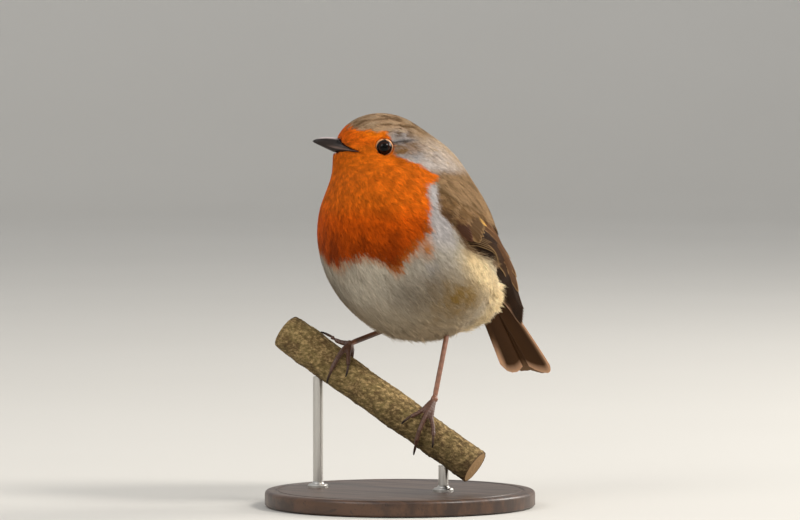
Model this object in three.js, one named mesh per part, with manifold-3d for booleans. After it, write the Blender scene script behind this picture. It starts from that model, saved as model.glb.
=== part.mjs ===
// A life-size European robin, fluffed up against the cold, gripping a short cut length of sloping
// branch that two rods carry above a round display base.
//
// Millimetres, +Z up. The origin is the centre of the base's underside. The body faces -Y, its left
// side is +X, and the head is turned towards its right shoulder.
import * as THREE from "three";
import { mergeVertices } from "three/addons/utils/BufferGeometryUtils.js";
import Module from "manifold-3d";

const wasm = await Module();
wasm.setup();

const { Vector3, CatmullRomCurve3 } = THREE;
const { sin, cos, sqrt, exp, log, PI, min, max, abs } = Math;
const v = (x, y, z) => new Vector3(x, y, z);
const deg = THREE.MathUtils.degToRad;
const { lerp, clamp, smoothstep } = THREE.MathUtils;

// ---- Driving dimensions ------------------------------------------------------------------------
const GAP = 0.35; // clearance between neighbouring solids

const TRUNK = { centre: v(0.2, 4.6, 83), length: 34.6, width: 27.2, depth: 28.2, pitch: 38 };
const VENT = { centre: v(0, 30, 72.6), length: 20, width: 18.2, depth: 16.4, pitch: 44 };
const NECK = { centre: v(0.8, 6, 102.3), length: 14.9, width: 16.3, depth: 14, pitch: 12 };
const HEAD = { at: v(-2.5, -5.3, 112.5), turn: 49 };
const SKULL = { forward: 0.4, down: -0.2, length: 13.7, width: 10.6, height: 12.2 };
const NAPE = { forward: -8.3, down: 5.5, length: 11.3, width: 10.8, height: 10 };
const MUZZLE = { forward: 7, down: -1, length: 8.6, width: 5.2, height: 9 };
const THROAT = { forward: 2.7, down: 8, length: 10.2, width: 8.6, height: 10 };
const PLUMAGE_BLEND = 2.2; // radius over which the rounded masses run into each other
const EYE = { forward: 0.2, up: 1.7, radius: 2.8, sunk: 1.5 };
const BILL = { root: 12, tip: 22.8, up: 1.75, rise: 9, depth: 5, width: 4.8 };

const WING = { width: 11, thickness: 3.8, blade: 1.1, quills: 5, quillWidth: 7.4, leafEnd: 0.72 };
const TAIL = { root: v(0.8, 32, 82), tip: v(2.8, 72.2, 40.2), feathers: 12, fan: 10, width: 4.4 };

const PERCH = { centre: v(-1.9, -2, 31.3), plan: 11.9, slope: 32.9, radius: 5.8 };
const PERCH_ENDS = { upper: -43.2, lower: 33.7 };
const LEG = { thickness: 1.45, ankle: 2.3 };
const BASE = { radius: 43, height: 5, bevel: 0.8 };
const ROD = { radius: 1.6, at: [-30, 21] };

// ---- Directions --------------------------------------------------------------------------------
const UP = v(0, 0, 1);
const FACE = v(-sin(deg(HEAD.turn)), -cos(deg(HEAD.turn)), 0); // where the bill points
const CHEEK = v(cos(deg(HEAD.turn)), -sin(deg(HEAD.turn)), 0); // the head's own left
const PERCH_DIR = v(
  cos(deg(PERCH.plan)) * cos(deg(PERCH.slope)),
  sin(deg(PERCH.plan)) * cos(deg(PERCH.slope)),
  -sin(deg(PERCH.slope)),
);
const PERCH_FRONT = v(sin(deg(PERCH.plan)), -cos(deg(PERCH.plan)), 0);
const PERCH_TOP = new Vector3().crossVectors(PERCH_DIR, PERCH_FRONT).negate();

// ---- Materials ---------------------------------------------------------------------------------
const finish = (color, roughness, metalness = 0) =>
  new THREE.MeshStandardMaterial({ color, roughness, metalness });
const MATERIALS = {
  head: finish(0xc2662a, 0.9),
  breast: finish(0xb8642e, 0.9),
  trunk: finish(0xb9ad94, 0.92),
  wing: finish(0x6b5a40, 0.8),
  quill: finish(0x4d3f30, 0.7),
  tail: finish(0x4a3b2d, 0.75),
  bill: finish(0x2b2724, 0.4),
  eye: finish(0x0b0806, 0.05),
  leg: finish(0x7c5444, 0.55),
  claw: finish(0x2a211d, 0.4),
  bark: finish(0x7d7148, 0.9),
  wood: finish(0x3a2a1e, 0.45),
  steel: finish(0x9a948a, 0.35, 0.9),
};

// ---- Solids from geometry, and back ------------------------------------------------------------
function solidFrom(geometry) {
  const bare = geometry.clone();
  for (const name of Object.keys(bare.attributes)) {
    if (name !== "position") bare.deleteAttribute(name);
  }
  const merged = mergeVertices(bare, 1e-4);
  const mesh = new wasm.Mesh({
    numProp: 3,
    vertProperties: new Float32Array(merged.attributes.position.array),
    triVerts: new Uint32Array(merged.index.array),
  });
  return new wasm.Manifold(mesh);
}

function geometryFrom(solid) {
  const { vertProperties, triVerts } = solid.getMesh();
  const geometry = new THREE.BufferGeometry();
  geometry.setAttribute("position", new THREE.BufferAttribute(new Float32Array(vertProperties), 3));
  geometry.setIndex(new THREE.BufferAttribute(new Uint32Array(triVerts), 1));
  geometry.computeVertexNormals();
  return geometry;
}

const joined = (solids) => solids.reduce((sum, solid) => sum.add(solid));
const without = (solid, cutters) => cutters.reduce((left, cutter) => left.subtract(cutter), solid);

// Keeps the largest body, dropping slivers that a cut can leave.
function mainBody(solid) {
  const bodies = solid.decompose();
  return bodies.reduce((best, body) => (body.volume() > best.volume() ? body : best));
}

const robin = new THREE.Group();

function addPart(name, solid, material) {
  const mesh = new THREE.Mesh(geometryFrom(mainBody(solid)), material);
  mesh.name = name;
  robin.add(mesh);
}

// ---- Rounded masses of plumage, blended into one surface ---------------------------------------
// Distance from p to an ellipsoid with the given centre, unit axes and radii; negative inside.
function ellipsoidDistance(p, { centre, axes, radii }) {
  const offset = p.clone().sub(centre);
  let k0 = 0;
  let k1 = 0;
  axes.forEach((axis, i) => {
    const along = offset.dot(axis) / radii[i];
    k0 += along ** 2;
    k1 += (along / radii[i]) ** 2;
  });
  return k0 === 0 ? -min(...radii) : (sqrt(k0) * (sqrt(k0) - 1)) / sqrt(k1);
}

// A mass whose length lies in the body's midplane, pitched down towards the tail.
function bodyMass({ centre, length, width, depth, pitch }) {
  const along = v(0, cos(deg(pitch)), -sin(deg(pitch)));
  const back = v(0, sin(deg(pitch)), cos(deg(pitch)));
  return { centre, axes: [along, v(1, 0, 0), back], radii: [length, width, depth] };
}

function onHead(forward, left, up) {
  return HEAD.at.clone().addScaledVector(FACE, forward).addScaledVector(CHEEK, left).addScaledVector(UP, up);
}

function headMass({ forward, down, length, width, height }) {
  const centre = onHead(forward, 0, -down);
  return { centre, axes: [FACE, CHEEK, UP], radii: [length, width, height] };
}

const MASSES = [
  ...[TRUNK, VENT, NECK].map(bodyMass),
  ...[SKULL, NAPE, MUZZLE, THROAT].map(headMass),
];

function plumageDistance(p) {
  const nearness = MASSES.map((mass) => exp(-ellipsoidDistance(p, mass) / PLUMAGE_BLEND));
  return -PLUMAGE_BLEND * log(nearness.reduce((a, b) => a + b));
}

// Walks in from outside along a ray until the plumage is met, then halves the step down to it.
function reach(origin, direction, grown) {
  const at = (t) => plumageDistance(origin.clone().addScaledVector(direction, t)) - grown;
  let outer = 75;
  while (at(outer - 1) > 0) outer -= 1;
  let inner = outer - 1;
  for (let i = 0; i < 18; i += 1) {
    const middle = (inner + outer) / 2;
    if (at(middle) > 0) outer = middle;
    else inner = middle;
  }
  return outer;
}

function castBody(grown, detail) {
  const origin = v(-0.5, 2, 99);
  const geometry = mergeVertices(bareSphere(detail), 1e-4);
  const place = geometry.attributes.position;
  for (let i = 0; i < place.count; i += 1) {
    const direction = new Vector3().fromBufferAttribute(place, i).normalize();
    // Rays crowd downwards, because most of the body lies below the neck.
    direction.z -= 0.4;
    direction.normalize();
    const met = origin.clone().addScaledVector(direction, reach(origin, direction, grown));
    place.setXYZ(i, met.x, met.y, met.z);
  }
  return solidFrom(geometry);
}

function bareSphere(detail) {
  const ball = new THREE.IcosahedronGeometry(1, detail);
  ball.deleteAttribute("normal");
  ball.deleteAttribute("uv");
  return ball;
}

// ---- Lofts -------------------------------------------------------------------------------------
// A closed body along a curve. section(s) gives the half-width along `side` and the half-thickness
// across it, and shrinks to nothing at both ends of its own accord.
function loft({ curve, side, section, rings = 10, sides = 8, grown = 0 }) {
  const ball = new THREE.SphereGeometry(1, sides, rings);
  ball.deleteAttribute("normal");
  ball.deleteAttribute("uv");
  const place = ball.attributes.position;
  const length = curve.getLength();
  for (let i = 0; i < place.count; i += 1) {
    const local = new Vector3().fromBufferAttribute(place, i);
    // The sphere's poles are on its Y axis: its height becomes the way along the curve.
    const s = clamp((1 + local.y) / 2, 0, 1);
    const round = sqrt(max(1 - local.y ** 2, 1e-12));
    const centre = curve.getPoint(s);
    const tangent = curve.getTangent(s);
    const across = side(s).clone().addScaledVector(tangent, -side(s).dot(tangent)).normalize();
    const through = new Vector3().crossVectors(tangent, across).normalize();
    const [halfWidth, halfThick] = section(s);
    const met = centre
      .addScaledVector(tangent, (grown * (2 * s - 1) * 10) / length)
      .addScaledVector(across, (local.x / round) * (halfWidth + grown) * endShape(s))
      .addScaledVector(through, (local.z / round) * (halfThick + grown) * endShape(s));
    place.setXYZ(i, met.x, met.y, met.z);
  }
  const solid = solidFrom(ball);
  return solid.volume() < 0 ? solidFrom(flipped(ball)) : solid;
}

// Both ends round off over a short way.
const endShape = (s) => min(1, 4 * sqrt(s * (1 - s)));

function flipped(geometry) {
  const index = geometry.index.array;
  for (let i = 0; i < index.length; i += 3) [index[i], index[i + 1]] = [index[i + 1], index[i]];
  return geometry;
}

const fixed = (vector) => () => vector;
const path = (...points) => new CatmullRomCurve3(points, false, "centripetal");

// A tapering round limb through a few points: radius runs from thick to thin.
function limb(points, thick, thin, { across = v(1, 0, 0), knuckles = 0, ...options } = {}) {
  return loft({
    curve: path(...points),
    side: fixed(across),
    section: (s) => {
      const radius = lerp(thick, thin, s) + knuckles * cos(6 * PI * s) ** 2;
      return [radius, radius];
    },
    ...options,
  });
}

// ---- Half-spaces, for parting the body ---------------------------------------------------------
function halfSpace(point, normal, above) {
  const size = 240;
  const box = new THREE.BoxGeometry(size, size, size);
  box.translate(0, 0, above ? size / 2 + GAP / 2 : -size / 2 - GAP / 2);
  box.applyQuaternion(new THREE.Quaternion().setFromUnitVectors(UP, normal.clone().normalize()));
  box.translate(point.x, point.y, point.z);
  return solidFrom(box);
}

// ---- Wings -------------------------------------------------------------------------------------
const mirrored = (vector, hand) => v(vector.x * hand, vector.y, vector.z);

// The line down the wing, and the direction across it towards its upper edge, which turns outwards at
// the tip so that the lower edges of the primaries tuck in under the tail.
function wingFrame(hand) {
  const line = [v(21, -9, 92.5), v(25.2, 5, 89.5), v(23, 24, 80), v(15.3, 42.2, 68.3), v(9.6, 57, 56)];
  const sides = [
    v(-0.3, 0.5, 0.85), v(-0.5, 0.43, 0.72), v(-0.62, 0.4, 0.66), v(0, 0.58, 0.76), v(0.42, 0.66, 0.62),
  ];
  const across = path(...sides.map((p) => mirrored(p, hand)));
  return {
    curve: path(...line.map((p) => mirrored(p, hand))),
    side: (s) => across.getPoint(s).normalize(),
  };
}

// Shoulder, coverts and secondaries: a thick leaf that sits in the side of the body.
function wingLeaf(hand, grown) {
  const whole = wingFrame(hand);
  const points = [0, 0.25, 0.5, 0.75, 1].map((s) => whole.curve.getPoint(s * WING.leafEnd));
  return loft({
    curve: path(...points),
    side: (s) => whole.side(s * WING.leafEnd),
    section: (s) => [
      WING.width * (0.55 + 0.5 * sin(PI * min(s * 1.15, 1)) - 0.35 * s),
      lerp(WING.thickness, 1.3, s),
    ],
    rings: 11,
    sides: 11,
    grown,
  });
}

// One long, thin feather. `side` is the direction of its width along it.
function blade(from, to, side, halfWidth, sag, grown = 0) {
  const middle = from.clone().lerp(to, 0.5).add(sag);
  return loft({
    curve: path(from, middle, to),
    side,
    section: (s) => [halfWidth * (0.6 + 0.4 * smoothstep(s, 0, 0.6)), WING.blade / 2],
    rings: 5,
    sides: 6,
    grown,
  });
}

// The folded primaries: blades stacked edge to edge, each shorter than the one below it.
function primaries(hand, grown) {
  const { curve, side } = wingFrame(hand);
  const sag = mirrored(v(0.3, 0.2, 0.5), hand);
  const blades = [];
  for (let i = 0; i < WING.quills; i += 1) {
    const from = 0.5 + 0.01 * i;
    const to = 1 - 0.06 * i ** 1.15;
    const start = curve.getPoint(from).addScaledVector(side(from), -5.6 + 1.5 * i);
    const end = curve.getPoint(to).addScaledVector(side(to), -2.5 + 1.05 * i);
    blades.push(blade(start, end, (s) => side(lerp(from, to, s)), WING.quillWidth / 2, sag, grown));
  }
  return joined(blades);
}

// ---- Tail --------------------------------------------------------------------------------------
function tailFeathers(grown) {
  const { root, tip, feathers, fan, width } = TAIL;
  const length = root.distanceTo(tip);
  const along = tip.clone().sub(root).normalize();
  const lift = new Vector3().crossVectors(along, v(1, 0, 0)).normalize();
  const blades = [];
  for (let i = 0; i < feathers; i += 1) {
    const place = (2 * i) / (feathers - 1) - 1; // -1 at the right edge, 1 at the left
    const angle = deg(fan / 2) * place;
    const reachOut = length * (1 - 0.025 * (1 - abs(place)));
    const direction = along.clone().multiplyScalar(cos(angle)).addScaledVector(v(1, 0, 0), sin(angle));
    const drop = 1.2 * place ** 2 - 0.35 * abs(place);
    const from = root.clone().addScaledVector(v(1, 0, 0), place * 1.6);
    const to = from.clone().addScaledVector(direction, reachOut).addScaledVector(lift, drop);
    blades.push(blade(from, to, fixed(v(1, 0, 0)), width / 2, lift.clone().multiplyScalar(-0.8), grown));
  }
  return joined(blades);
}

// ---- Bill --------------------------------------------------------------------------------------
// The closed bill in one piece, from inside the face to the tip.
function wholeBill() {
  const slope = Math.tan(deg(BILL.rise));
  const at = (forward) => onHead(forward, 0, BILL.up + (forward - BILL.root) * slope);
  return loft({
    curve: new THREE.LineCurve3(at(BILL.root), at(BILL.tip)),
    side: fixed(CHEEK),
    section: (s) => [
      lerp(BILL.width / 2, 0.45, s ** 0.8),
      lerp(BILL.depth / 2, 0.5, s ** 1.15),
    ],
    rings: 12,
    sides: 12,
  });
}

// The gape runs level from the tip, so the upper half ends in a small overhang.
function mandible(upper) {
  const gape = onHead(BILL.tip, 0, BILL.up + 1.05);
  const across = UP.clone().addScaledVector(FACE, -0.1);
  return wholeBill().intersect(halfSpace(gape, across, upper));
}

// ---- Eyes --------------------------------------------------------------------------------------
function eyeBall(hand, grown = 0) {
  // The distance out to the face is found along the head's own sideways direction.
  const level = onHead(EYE.forward, 0, EYE.up);
  const outward = CHEEK.clone().multiplyScalar(hand).addScaledVector(FACE, 0.12).normalize();
  const out = reach(level, outward, 0) - EYE.sunk;
  const centre = level.clone().addScaledVector(outward, out);
  const ball = new THREE.SphereGeometry(EYE.radius + grown, 12, 9);
  ball.translate(centre.x, centre.y, centre.z);
  return solidFrom(ball);
}

// ---- Perch -------------------------------------------------------------------------------------
// A point near the perch: `along` from its centre, `turn` degrees round from the top to the front.
function roundPerch(along, turn, out) {
  return PERCH.centre
    .clone()
    .addScaledVector(PERCH_DIR, along)
    .addScaledVector(PERCH_TOP, out * cos(deg(turn)))
    .addScaledVector(PERCH_FRONT, out * sin(deg(turn)));
}

// The bark swells and dips a little along the branch, and more at the scar of a lost twig.
function barkRadius(along, turn) {
  const swell = 0.12 * sin(along * 0.21 + 1) + 0.1 * sin(along * 0.47 + deg(turn) * 2);
  const scar = 0.9 * exp(-(((along + 36) / 3.2) ** 2) - ((turn - 40) / 50) ** 2);
  const taper = -0.006 * along;
  return PERCH.radius + swell + scar + taper;
}

function perchSolid(grown = 0) {
  const { upper, lower } = PERCH_ENDS;
  const rod = new THREE.CylinderGeometry(1, 1, 1, 16, 10);
  rod.deleteAttribute("normal");
  rod.deleteAttribute("uv");
  const place = rod.attributes.position;
  for (let i = 0; i < place.count; i += 1) {
    const local = new Vector3().fromBufferAttribute(place, i);
    const along = lerp(upper, lower, 0.5 - local.y);
    const turn = THREE.MathUtils.radToDeg(Math.atan2(local.x, local.z));
    const size = Math.hypot(local.x, local.z);
    const met = roundPerch(along, turn, size * (barkRadius(along, turn) + grown));
    place.setXYZ(i, met.x, met.y, met.z);
  }
  const solid = solidFrom(rod);
  return solid.volume() < 0 ? solidFrom(flipped(rod)) : solid;
}

// ---- Legs and feet -----------------------------------------------------------------------------
// Where each foot stands, and how each toe runs: [along, turn] stations from the foot outwards, the
// last one being the tip of the claw, which stands `hook` clear of the bark.
const FEET = {
  left: {
    hand: 1,
    along: 10.6,
    height: 4.6,
    ankle: v(11.4, 11, 57.5),
    cuff: 5,
    toes: {
      inner: { radius: 0.85, stations: [[10.2, 36], [8.4, 74], [7.6, 97]], hook: 0.1 },
      middle: { radius: 0.9, stations: [[12.3, 40], [14, 88], [15, 128], [15.6, 152]], hook: 2.2 },
      outer: { radius: 0.8, stations: [[13.6, 30], [17.2, 58], [19.2, 80], [20.2, 102]], hook: 0.1 },
      hind: { radius: 0.95, stations: [[10, -42], [9.2, -88], [8.8, -128]], hook: 0.3 },
    },
  },
  right: {
    hand: -1,
    along: -22.9,
    height: 3.1,
    ankle: v(-11, 19, 57),
    cuff: 8,
    toes: {
      inner: { radius: 0.8, stations: [[-20, 30], [-17.2, 58], [-16.3, 82]], hook: 0.1 },
      middle: { radius: 0.9, stations: [[-22.2, 46], [-21.2, 96], [-20.8, 134]], hook: 0.2 },
      outer: { radius: 0.85, stations: [[-26, 6], [-30, 6], [-32.8, 12]], hook: 0.1 },
      hind: { radius: 0.95, stations: [[-22.2, -44], [-21.4, -88], [-20.8, -128]], hook: 0.3 },
    },
  },
};

const KNUCKLE_RISE = 0.35;

// Points along a toe, out to the root of its claw, and on to the claw's tip.
function toeLine(foot, { radius, stations, hook }) {
  const clear = (along, turn) => barkRadius(along, turn) + GAP + radius;
  const on = ([along, turn], extra = 0) => roundPerch(along, turn, clear(along, turn) + extra);
  const start = roundPerch(foot.along, 0, PERCH.radius + foot.height);
  const pads = stations.slice(0, -1).map((station) => on(station, KNUCKLE_RISE));
  const tip = on(stations.at(-1), hook - radius * 0.6);
  return { start, pads, tip, last: pads.at(-1) };
}

function toeSolid(foot, toe) {
  const { start, pads } = toeLine(foot, toe);
  return limb([start, ...pads], toe.radius * 1.1, toe.radius * 0.72, {
    rings: 7,
    sides: 6,
    across: PERCH_DIR,
    knuckles: 0.12,
  });
}

function clawSolid(foot, toe, grown = 0) {
  const { pads, tip, last } = toeLine(foot, toe);
  const before = pads.length > 1 ? pads.at(-2) : roundPerch(foot.along, 0, PERCH.radius + foot.height);
  const onward = last.clone().sub(before).normalize();
  const root = last.clone().addScaledVector(onward, -0.6);
  const bulge = last.clone().lerp(tip, 0.5).addScaledVector(onward, 0.5);
  return limb([root, bulge, tip], toe.radius * 0.62, 0.14, {
    rings: 5,
    sides: 6,
    across: PERCH_DIR,
    grown,
  });
}

function footSolid(foot) {
  const start = roundPerch(foot.along, 0, PERCH.radius + foot.height);
  const pad = new THREE.SphereGeometry(LEG.ankle * 0.55, 8, 6);
  pad.translate(start.x, start.y, start.z);
  return joined([solidFrom(pad), ...Object.values(foot.toes).map((toe) => toeSolid(foot, toe))]);
}

function shankSolid(foot, grown = 0) {
  const start = roundPerch(foot.along, 0, PERCH.radius + foot.height);
  const middle = foot.ankle.clone().lerp(start, 0.5).add(v(0.3 * foot.hand, -0.5, -0.2));
  return loft({
    curve: path(foot.ankle, middle, start),
    side: fixed(v(1, 0, 0)),
    section: (s) => {
      const swell = LEG.ankle * (0.5 - 0.5 * smoothstep(s, 0, 0.25) + 0.42 * smoothstep(s, 0.8, 1));
      return [max(LEG.thickness / 2, swell), max(LEG.thickness * 0.6, swell)];
    },
    rings: 14,
    sides: 8,
    grown,
  });
}

// Feathered thigh: a soft cone that comes out of the belly round the top of the shank.
function thighSolid(foot, grown = 0) {
  const start = roundPerch(foot.along, 0, PERCH.radius + foot.height);
  const down = start.clone().sub(foot.ankle).normalize();
  const knee = foot.ankle.clone().add(v(-1.5 * foot.hand, -7, 10));
  const end = foot.ankle.clone().addScaledVector(down, foot.cuff);
  return limb([knee, foot.ankle.clone(), end], 6.5, 1.3, { rings: 8, sides: 12, grown });
}

// ---- Stand -------------------------------------------------------------------------------------
function standBase() {
  const { radius, height, bevel } = BASE;
  const profile = [
    [0, 0], [radius, 0], [radius, height - bevel], [radius - bevel, height], [0, height],
  ];
  const turned = new THREE.LatheGeometry(profile.map(([r, z]) => new THREE.Vector2(r, z)), 40);
  turned.rotateX(PI / 2);
  const solid = solidFrom(turned);
  return solid.volume() < 0 ? solidFrom(flipped(turned)) : solid;
}

function standRod(along) {
  const top = roundPerch(along, 0, 0);
  const foot = BASE.height + GAP;
  const rod = new THREE.CylinderGeometry(ROD.radius, ROD.radius, top.z - foot, 16);
  rod.rotateX(PI / 2);
  rod.translate(top.x, top.y, (top.z + foot) / 2);
  return solidFrom(rod);
}

// ---- Assembly ----------------------------------------------------------------------------------
const hands = [["left", 1], ["right", -1]];
const body = castBody(0, 9);
const bodyGrown = castBody(GAP, 9);

const wings = hands.map(([, hand]) => wingLeaf(hand, 0));
const wingsGrown = hands.map(([, hand]) => wingLeaf(hand, GAP));
const eyesGrown = hands.map(([, hand]) => eyeBall(hand, GAP));

const throatCut = { point: onHead(0, 0, -9), normal: UP.clone().addScaledVector(FACE, 0.16) };
const collarCut = { point: v(0, 0, 100.5), normal: v(0, -0.16, 1) };

const head = body.intersect(halfSpace(throatCut.point, throatCut.normal, true));
const neck = body
  .intersect(halfSpace(throatCut.point, throatCut.normal, false))
  .intersect(halfSpace(collarCut.point, collarCut.normal, true));
const trunk = body.intersect(halfSpace(collarCut.point, collarCut.normal, false));

addPart("head", without(head, eyesGrown), MATERIALS.head);
addPart("neck", neck, MATERIALS.breast);
addPart("trunk", without(trunk, wingsGrown), MATERIALS.trunk);

hands.forEach(([name, hand], i) => {
  addPart(`wing_${name}`, wings[i], MATERIALS.wing);
  const quills = without(primaries(hand, 0), [bodyGrown, wingsGrown[i]]);
  addPart(`primaries_${name}`, quills, MATERIALS.quill);
  addPart(`eye_${name}`, eyeBall(hand), MATERIALS.eye);
});

const primariesGrown = hands.map(([, hand]) => primaries(hand, GAP));
addPart("tail", without(tailFeathers(0), [bodyGrown, ...wingsGrown, ...primariesGrown]), MATERIALS.tail);

addPart("bill_upper", mandible(true).subtract(bodyGrown), MATERIALS.bill);
addPart("bill_lower", mandible(false).subtract(bodyGrown), MATERIALS.bill);

for (const [name, foot] of Object.entries(FEET)) {
  const shank = shankSolid(foot);
  const thigh = thighSolid(foot).subtract(bodyGrown).subtract(shankSolid(foot, GAP));
  const toes = Object.entries(foot.toes);
  const clawsGrown = toes.map(([, toe]) => clawSolid(foot, toe, GAP));
  addPart(`thigh_${name}`, thigh, MATERIALS.trunk);
  addPart(`shank_${name}`, shank.subtract(bodyGrown), MATERIALS.leg);
  const foothold = without(footSolid(foot), [shankSolid(foot, GAP), ...clawsGrown]);
  addPart(`foot_${name}`, foothold, MATERIALS.leg);
  for (const [toeName, toe] of toes) {
    addPart(`claw_${toeName}_${name}`, clawSolid(foot, toe), MATERIALS.claw);
  }
}

const perch = perchSolid();
addPart("perch", perch, MATERIALS.bark);
addPart("stand_base", standBase(), MATERIALS.wood);
ROD.at.forEach((along, i) => {
  addPart(`stand_rod_${i + 1}`, standRod(along).subtract(perchSolid(GAP)), MATERIALS.steel);
});

export default robin;
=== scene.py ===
"""A life-size European robin, fluffed up, gripping a cut length of branch on a small display stand.

One skin lies under the plumage and feathers are laid over it in tufts and vanes that follow the lie
of the coat. Lengths are in millimetres until a mesh is made, and +Z is up.
"""

import math

import bpy
import numpy as np
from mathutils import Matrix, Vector
from mathutils.bvhtree import BVHTree


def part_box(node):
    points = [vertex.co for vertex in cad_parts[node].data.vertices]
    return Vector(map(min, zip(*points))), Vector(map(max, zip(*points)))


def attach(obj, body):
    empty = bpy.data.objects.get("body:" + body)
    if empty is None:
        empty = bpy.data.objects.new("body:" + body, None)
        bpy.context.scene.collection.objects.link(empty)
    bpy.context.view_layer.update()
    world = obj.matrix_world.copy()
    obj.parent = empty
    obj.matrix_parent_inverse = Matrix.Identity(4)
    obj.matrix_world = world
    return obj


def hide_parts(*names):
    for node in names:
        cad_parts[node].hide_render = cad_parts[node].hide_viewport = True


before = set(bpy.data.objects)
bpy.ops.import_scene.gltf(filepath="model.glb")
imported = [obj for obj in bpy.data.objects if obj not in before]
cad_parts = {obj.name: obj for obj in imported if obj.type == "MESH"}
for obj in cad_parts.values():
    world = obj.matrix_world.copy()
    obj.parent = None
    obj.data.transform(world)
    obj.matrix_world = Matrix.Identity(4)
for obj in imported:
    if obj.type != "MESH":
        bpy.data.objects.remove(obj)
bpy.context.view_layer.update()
MM = 0.001
rng = np.random.default_rng(11)


# ---- Small sums on rows of vectors --------------------------------------------------------------
def unit(v):
    return v / np.maximum(np.linalg.norm(v, axis=-1, keepdims=True), 1e-9)


def dot(a, b):
    return (a * b).sum(-1)


def length(v):
    return np.linalg.norm(v, axis=-1)


def ease(low, high, x):
    t = np.clip((x - low) / (high - low), 0, 1)
    return t * t * (3 - 2 * t)


def blend(a, b, t):
    return a + (b - a) * t


def near(p, centre, radii):
    """1 at the centre of a soft patch, falling to 0 some way outside its radii."""
    return np.exp(-(((p - np.array(centre)) / np.array(radii)) ** 2).sum(-1))


def follow(line, x):
    """The height at x of a line given as pairs."""
    return np.interp(x, line[:, 0], line[:, 1])


LATTICE = np.random.default_rng(3).random((32, 32, 32))


def cloud(p, size, shift=0.0):
    """Smooth random variation between -1 and 1, with lumps about `size` mm across."""
    q = p / size + shift
    cell = np.floor(q).astype(int)
    f = q - cell
    f = f * f * (3 - 2 * f)
    total = np.zeros(p.shape[:-1])
    for dx in (0, 1):
        for dy in (0, 1):
            for dz in (0, 1):
                share = (
                    (f[..., 0] if dx else 1 - f[..., 0])
                    * (f[..., 1] if dy else 1 - f[..., 1])
                    * (f[..., 2] if dz else 1 - f[..., 2])
                )
                corner = (cell + (dx, dy, dz)) % 32
                total += share * LATTICE[corner[..., 0], corner[..., 1], corner[..., 2]]
    return 2 * total - 1


def shade(r, g, b):
    """A colour named by its red, green and blue from 0 to 255, as the shader's linear values."""
    c = np.array([r, g, b]) / 255
    return np.where(c <= 0.04045, c / 12.92, ((c + 0.055) / 1.055) ** 2.4)


# ---- What the frame says ------------------------------------------------------------------------
def node_mesh(name):
    """A CAD node's corners in millimetres and its triangles, with doubles merged."""
    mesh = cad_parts[name].data
    mesh.calc_loop_triangles()
    points = np.empty(len(mesh.vertices) * 3)
    mesh.vertices.foreach_get("co", points)
    points = points.reshape(-1, 3) / MM
    tris = np.empty(len(mesh.loop_triangles) * 3, int)
    mesh.loop_triangles.foreach_get("vertices", tris)
    _, first, where = np.unique(np.round(points, 4), axis=0, return_index=True, return_inverse=True)
    tris = where.reshape(-1)[tris].reshape(-1, 3)
    whole = (tris[:, 0] != tris[:, 1]) & (tris[:, 1] != tris[:, 2]) & (tris[:, 0] != tris[:, 2])
    return points[first], tris[whole]


def middle(name):
    low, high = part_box(name)
    return np.array((low + high) / 2) / MM


def corner_normals(points, tris):
    faces = np.cross(points[tris[:, 1]] - points[tris[:, 0]], points[tris[:, 2]] - points[tris[:, 0]])
    total = np.zeros_like(points)
    for k in range(3):
        np.add.at(total, tris[:, k], faces)
    return unit(total)


UP = np.array([0.0, 0.0, 1.0])
HEAD_TURN = math.radians(49)
FACE = np.array([-math.sin(HEAD_TURN), -math.cos(HEAD_TURN), 0])
CHEEK = np.array([math.cos(HEAD_TURN), -math.sin(HEAD_TURN), 0])
BILL_LENGTH = 22.8  # from the middle of the head to the tip
bill_points = node_mesh("bill_upper")[0]
bill_tip = bill_points[np.argmax(bill_points @ FACE)]
HEAD_AT = bill_tip - FACE * BILL_LENGTH - UP * 3.3
EYES = {hand: middle(name) for name, hand in (("eye_left", 1), ("eye_right", -1))}
EYE_RADIUS = float((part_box("eye_left")[1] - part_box("eye_left")[0]).z) / MM / 2
EYE_OPENING = 2.32
LID_REACH = 0.42  # how far past the opening no feather grows
BILL_BASE = HEAD_AT + FACE * 13 + UP * 1.6
TAIL_BASE = np.array([0.6, 42, 67])
ANKLES = [middle("thigh_left") - UP * 3, middle("thigh_right") - UP * 3]


def on_head(forward, left, up):
    return HEAD_AT + FACE * forward + CHEEK * left + UP * up


def head_place(p):
    """Forward, left and up from the middle of the head."""
    q = p - HEAD_AT
    return q @ FACE, q @ CHEEK, q[..., 2]


def body_turn(p):
    """Degrees round the bird from the middle of its front, which follows the turn of the head, and
    the distance out from its upright middle line."""
    w = ease(97, 110, p[..., 2])
    x = p[..., 0] - blend(0, HEAD_AT[0], w)
    y = p[..., 1] - blend(5, HEAD_AT[1], w)
    turn = np.degrees(np.arctan2(x, -y)) - blend(-8, -49, w)
    return (turn + 180) % 360 - 180, np.hypot(x, y)


# ---- Finishes -----------------------------------------------------------------------------------
class Wire:
    """A shader socket; sums written on it add their own Math nodes."""

    def __init__(self, finish, socket):
        self.finish, self.socket = finish, socket

    def sum(self, operation, *others):
        return self.finish.node("Math", dict(enumerate((self, *others))), operation=operation)

    def __add__(self, other):
        return self.sum("ADD", other)

    def __sub__(self, other):
        return self.sum("SUBTRACT", other)

    def __rsub__(self, other):
        return self.finish.node("Math", {0: other, 1: self}, operation="SUBTRACT")

    def __mul__(self, other):
        return self.sum("MULTIPLY", other)

    __radd__, __rmul__ = __add__, __mul__

    def step(self, low, high):
        """0 below `low` and 1 above `high`, or the other way round."""
        sockets = {"Value": self, "From Min": low, "From Max": high}
        return self.finish.node("MapRange", sockets, interpolation_type="SMOOTHSTEP")


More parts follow.
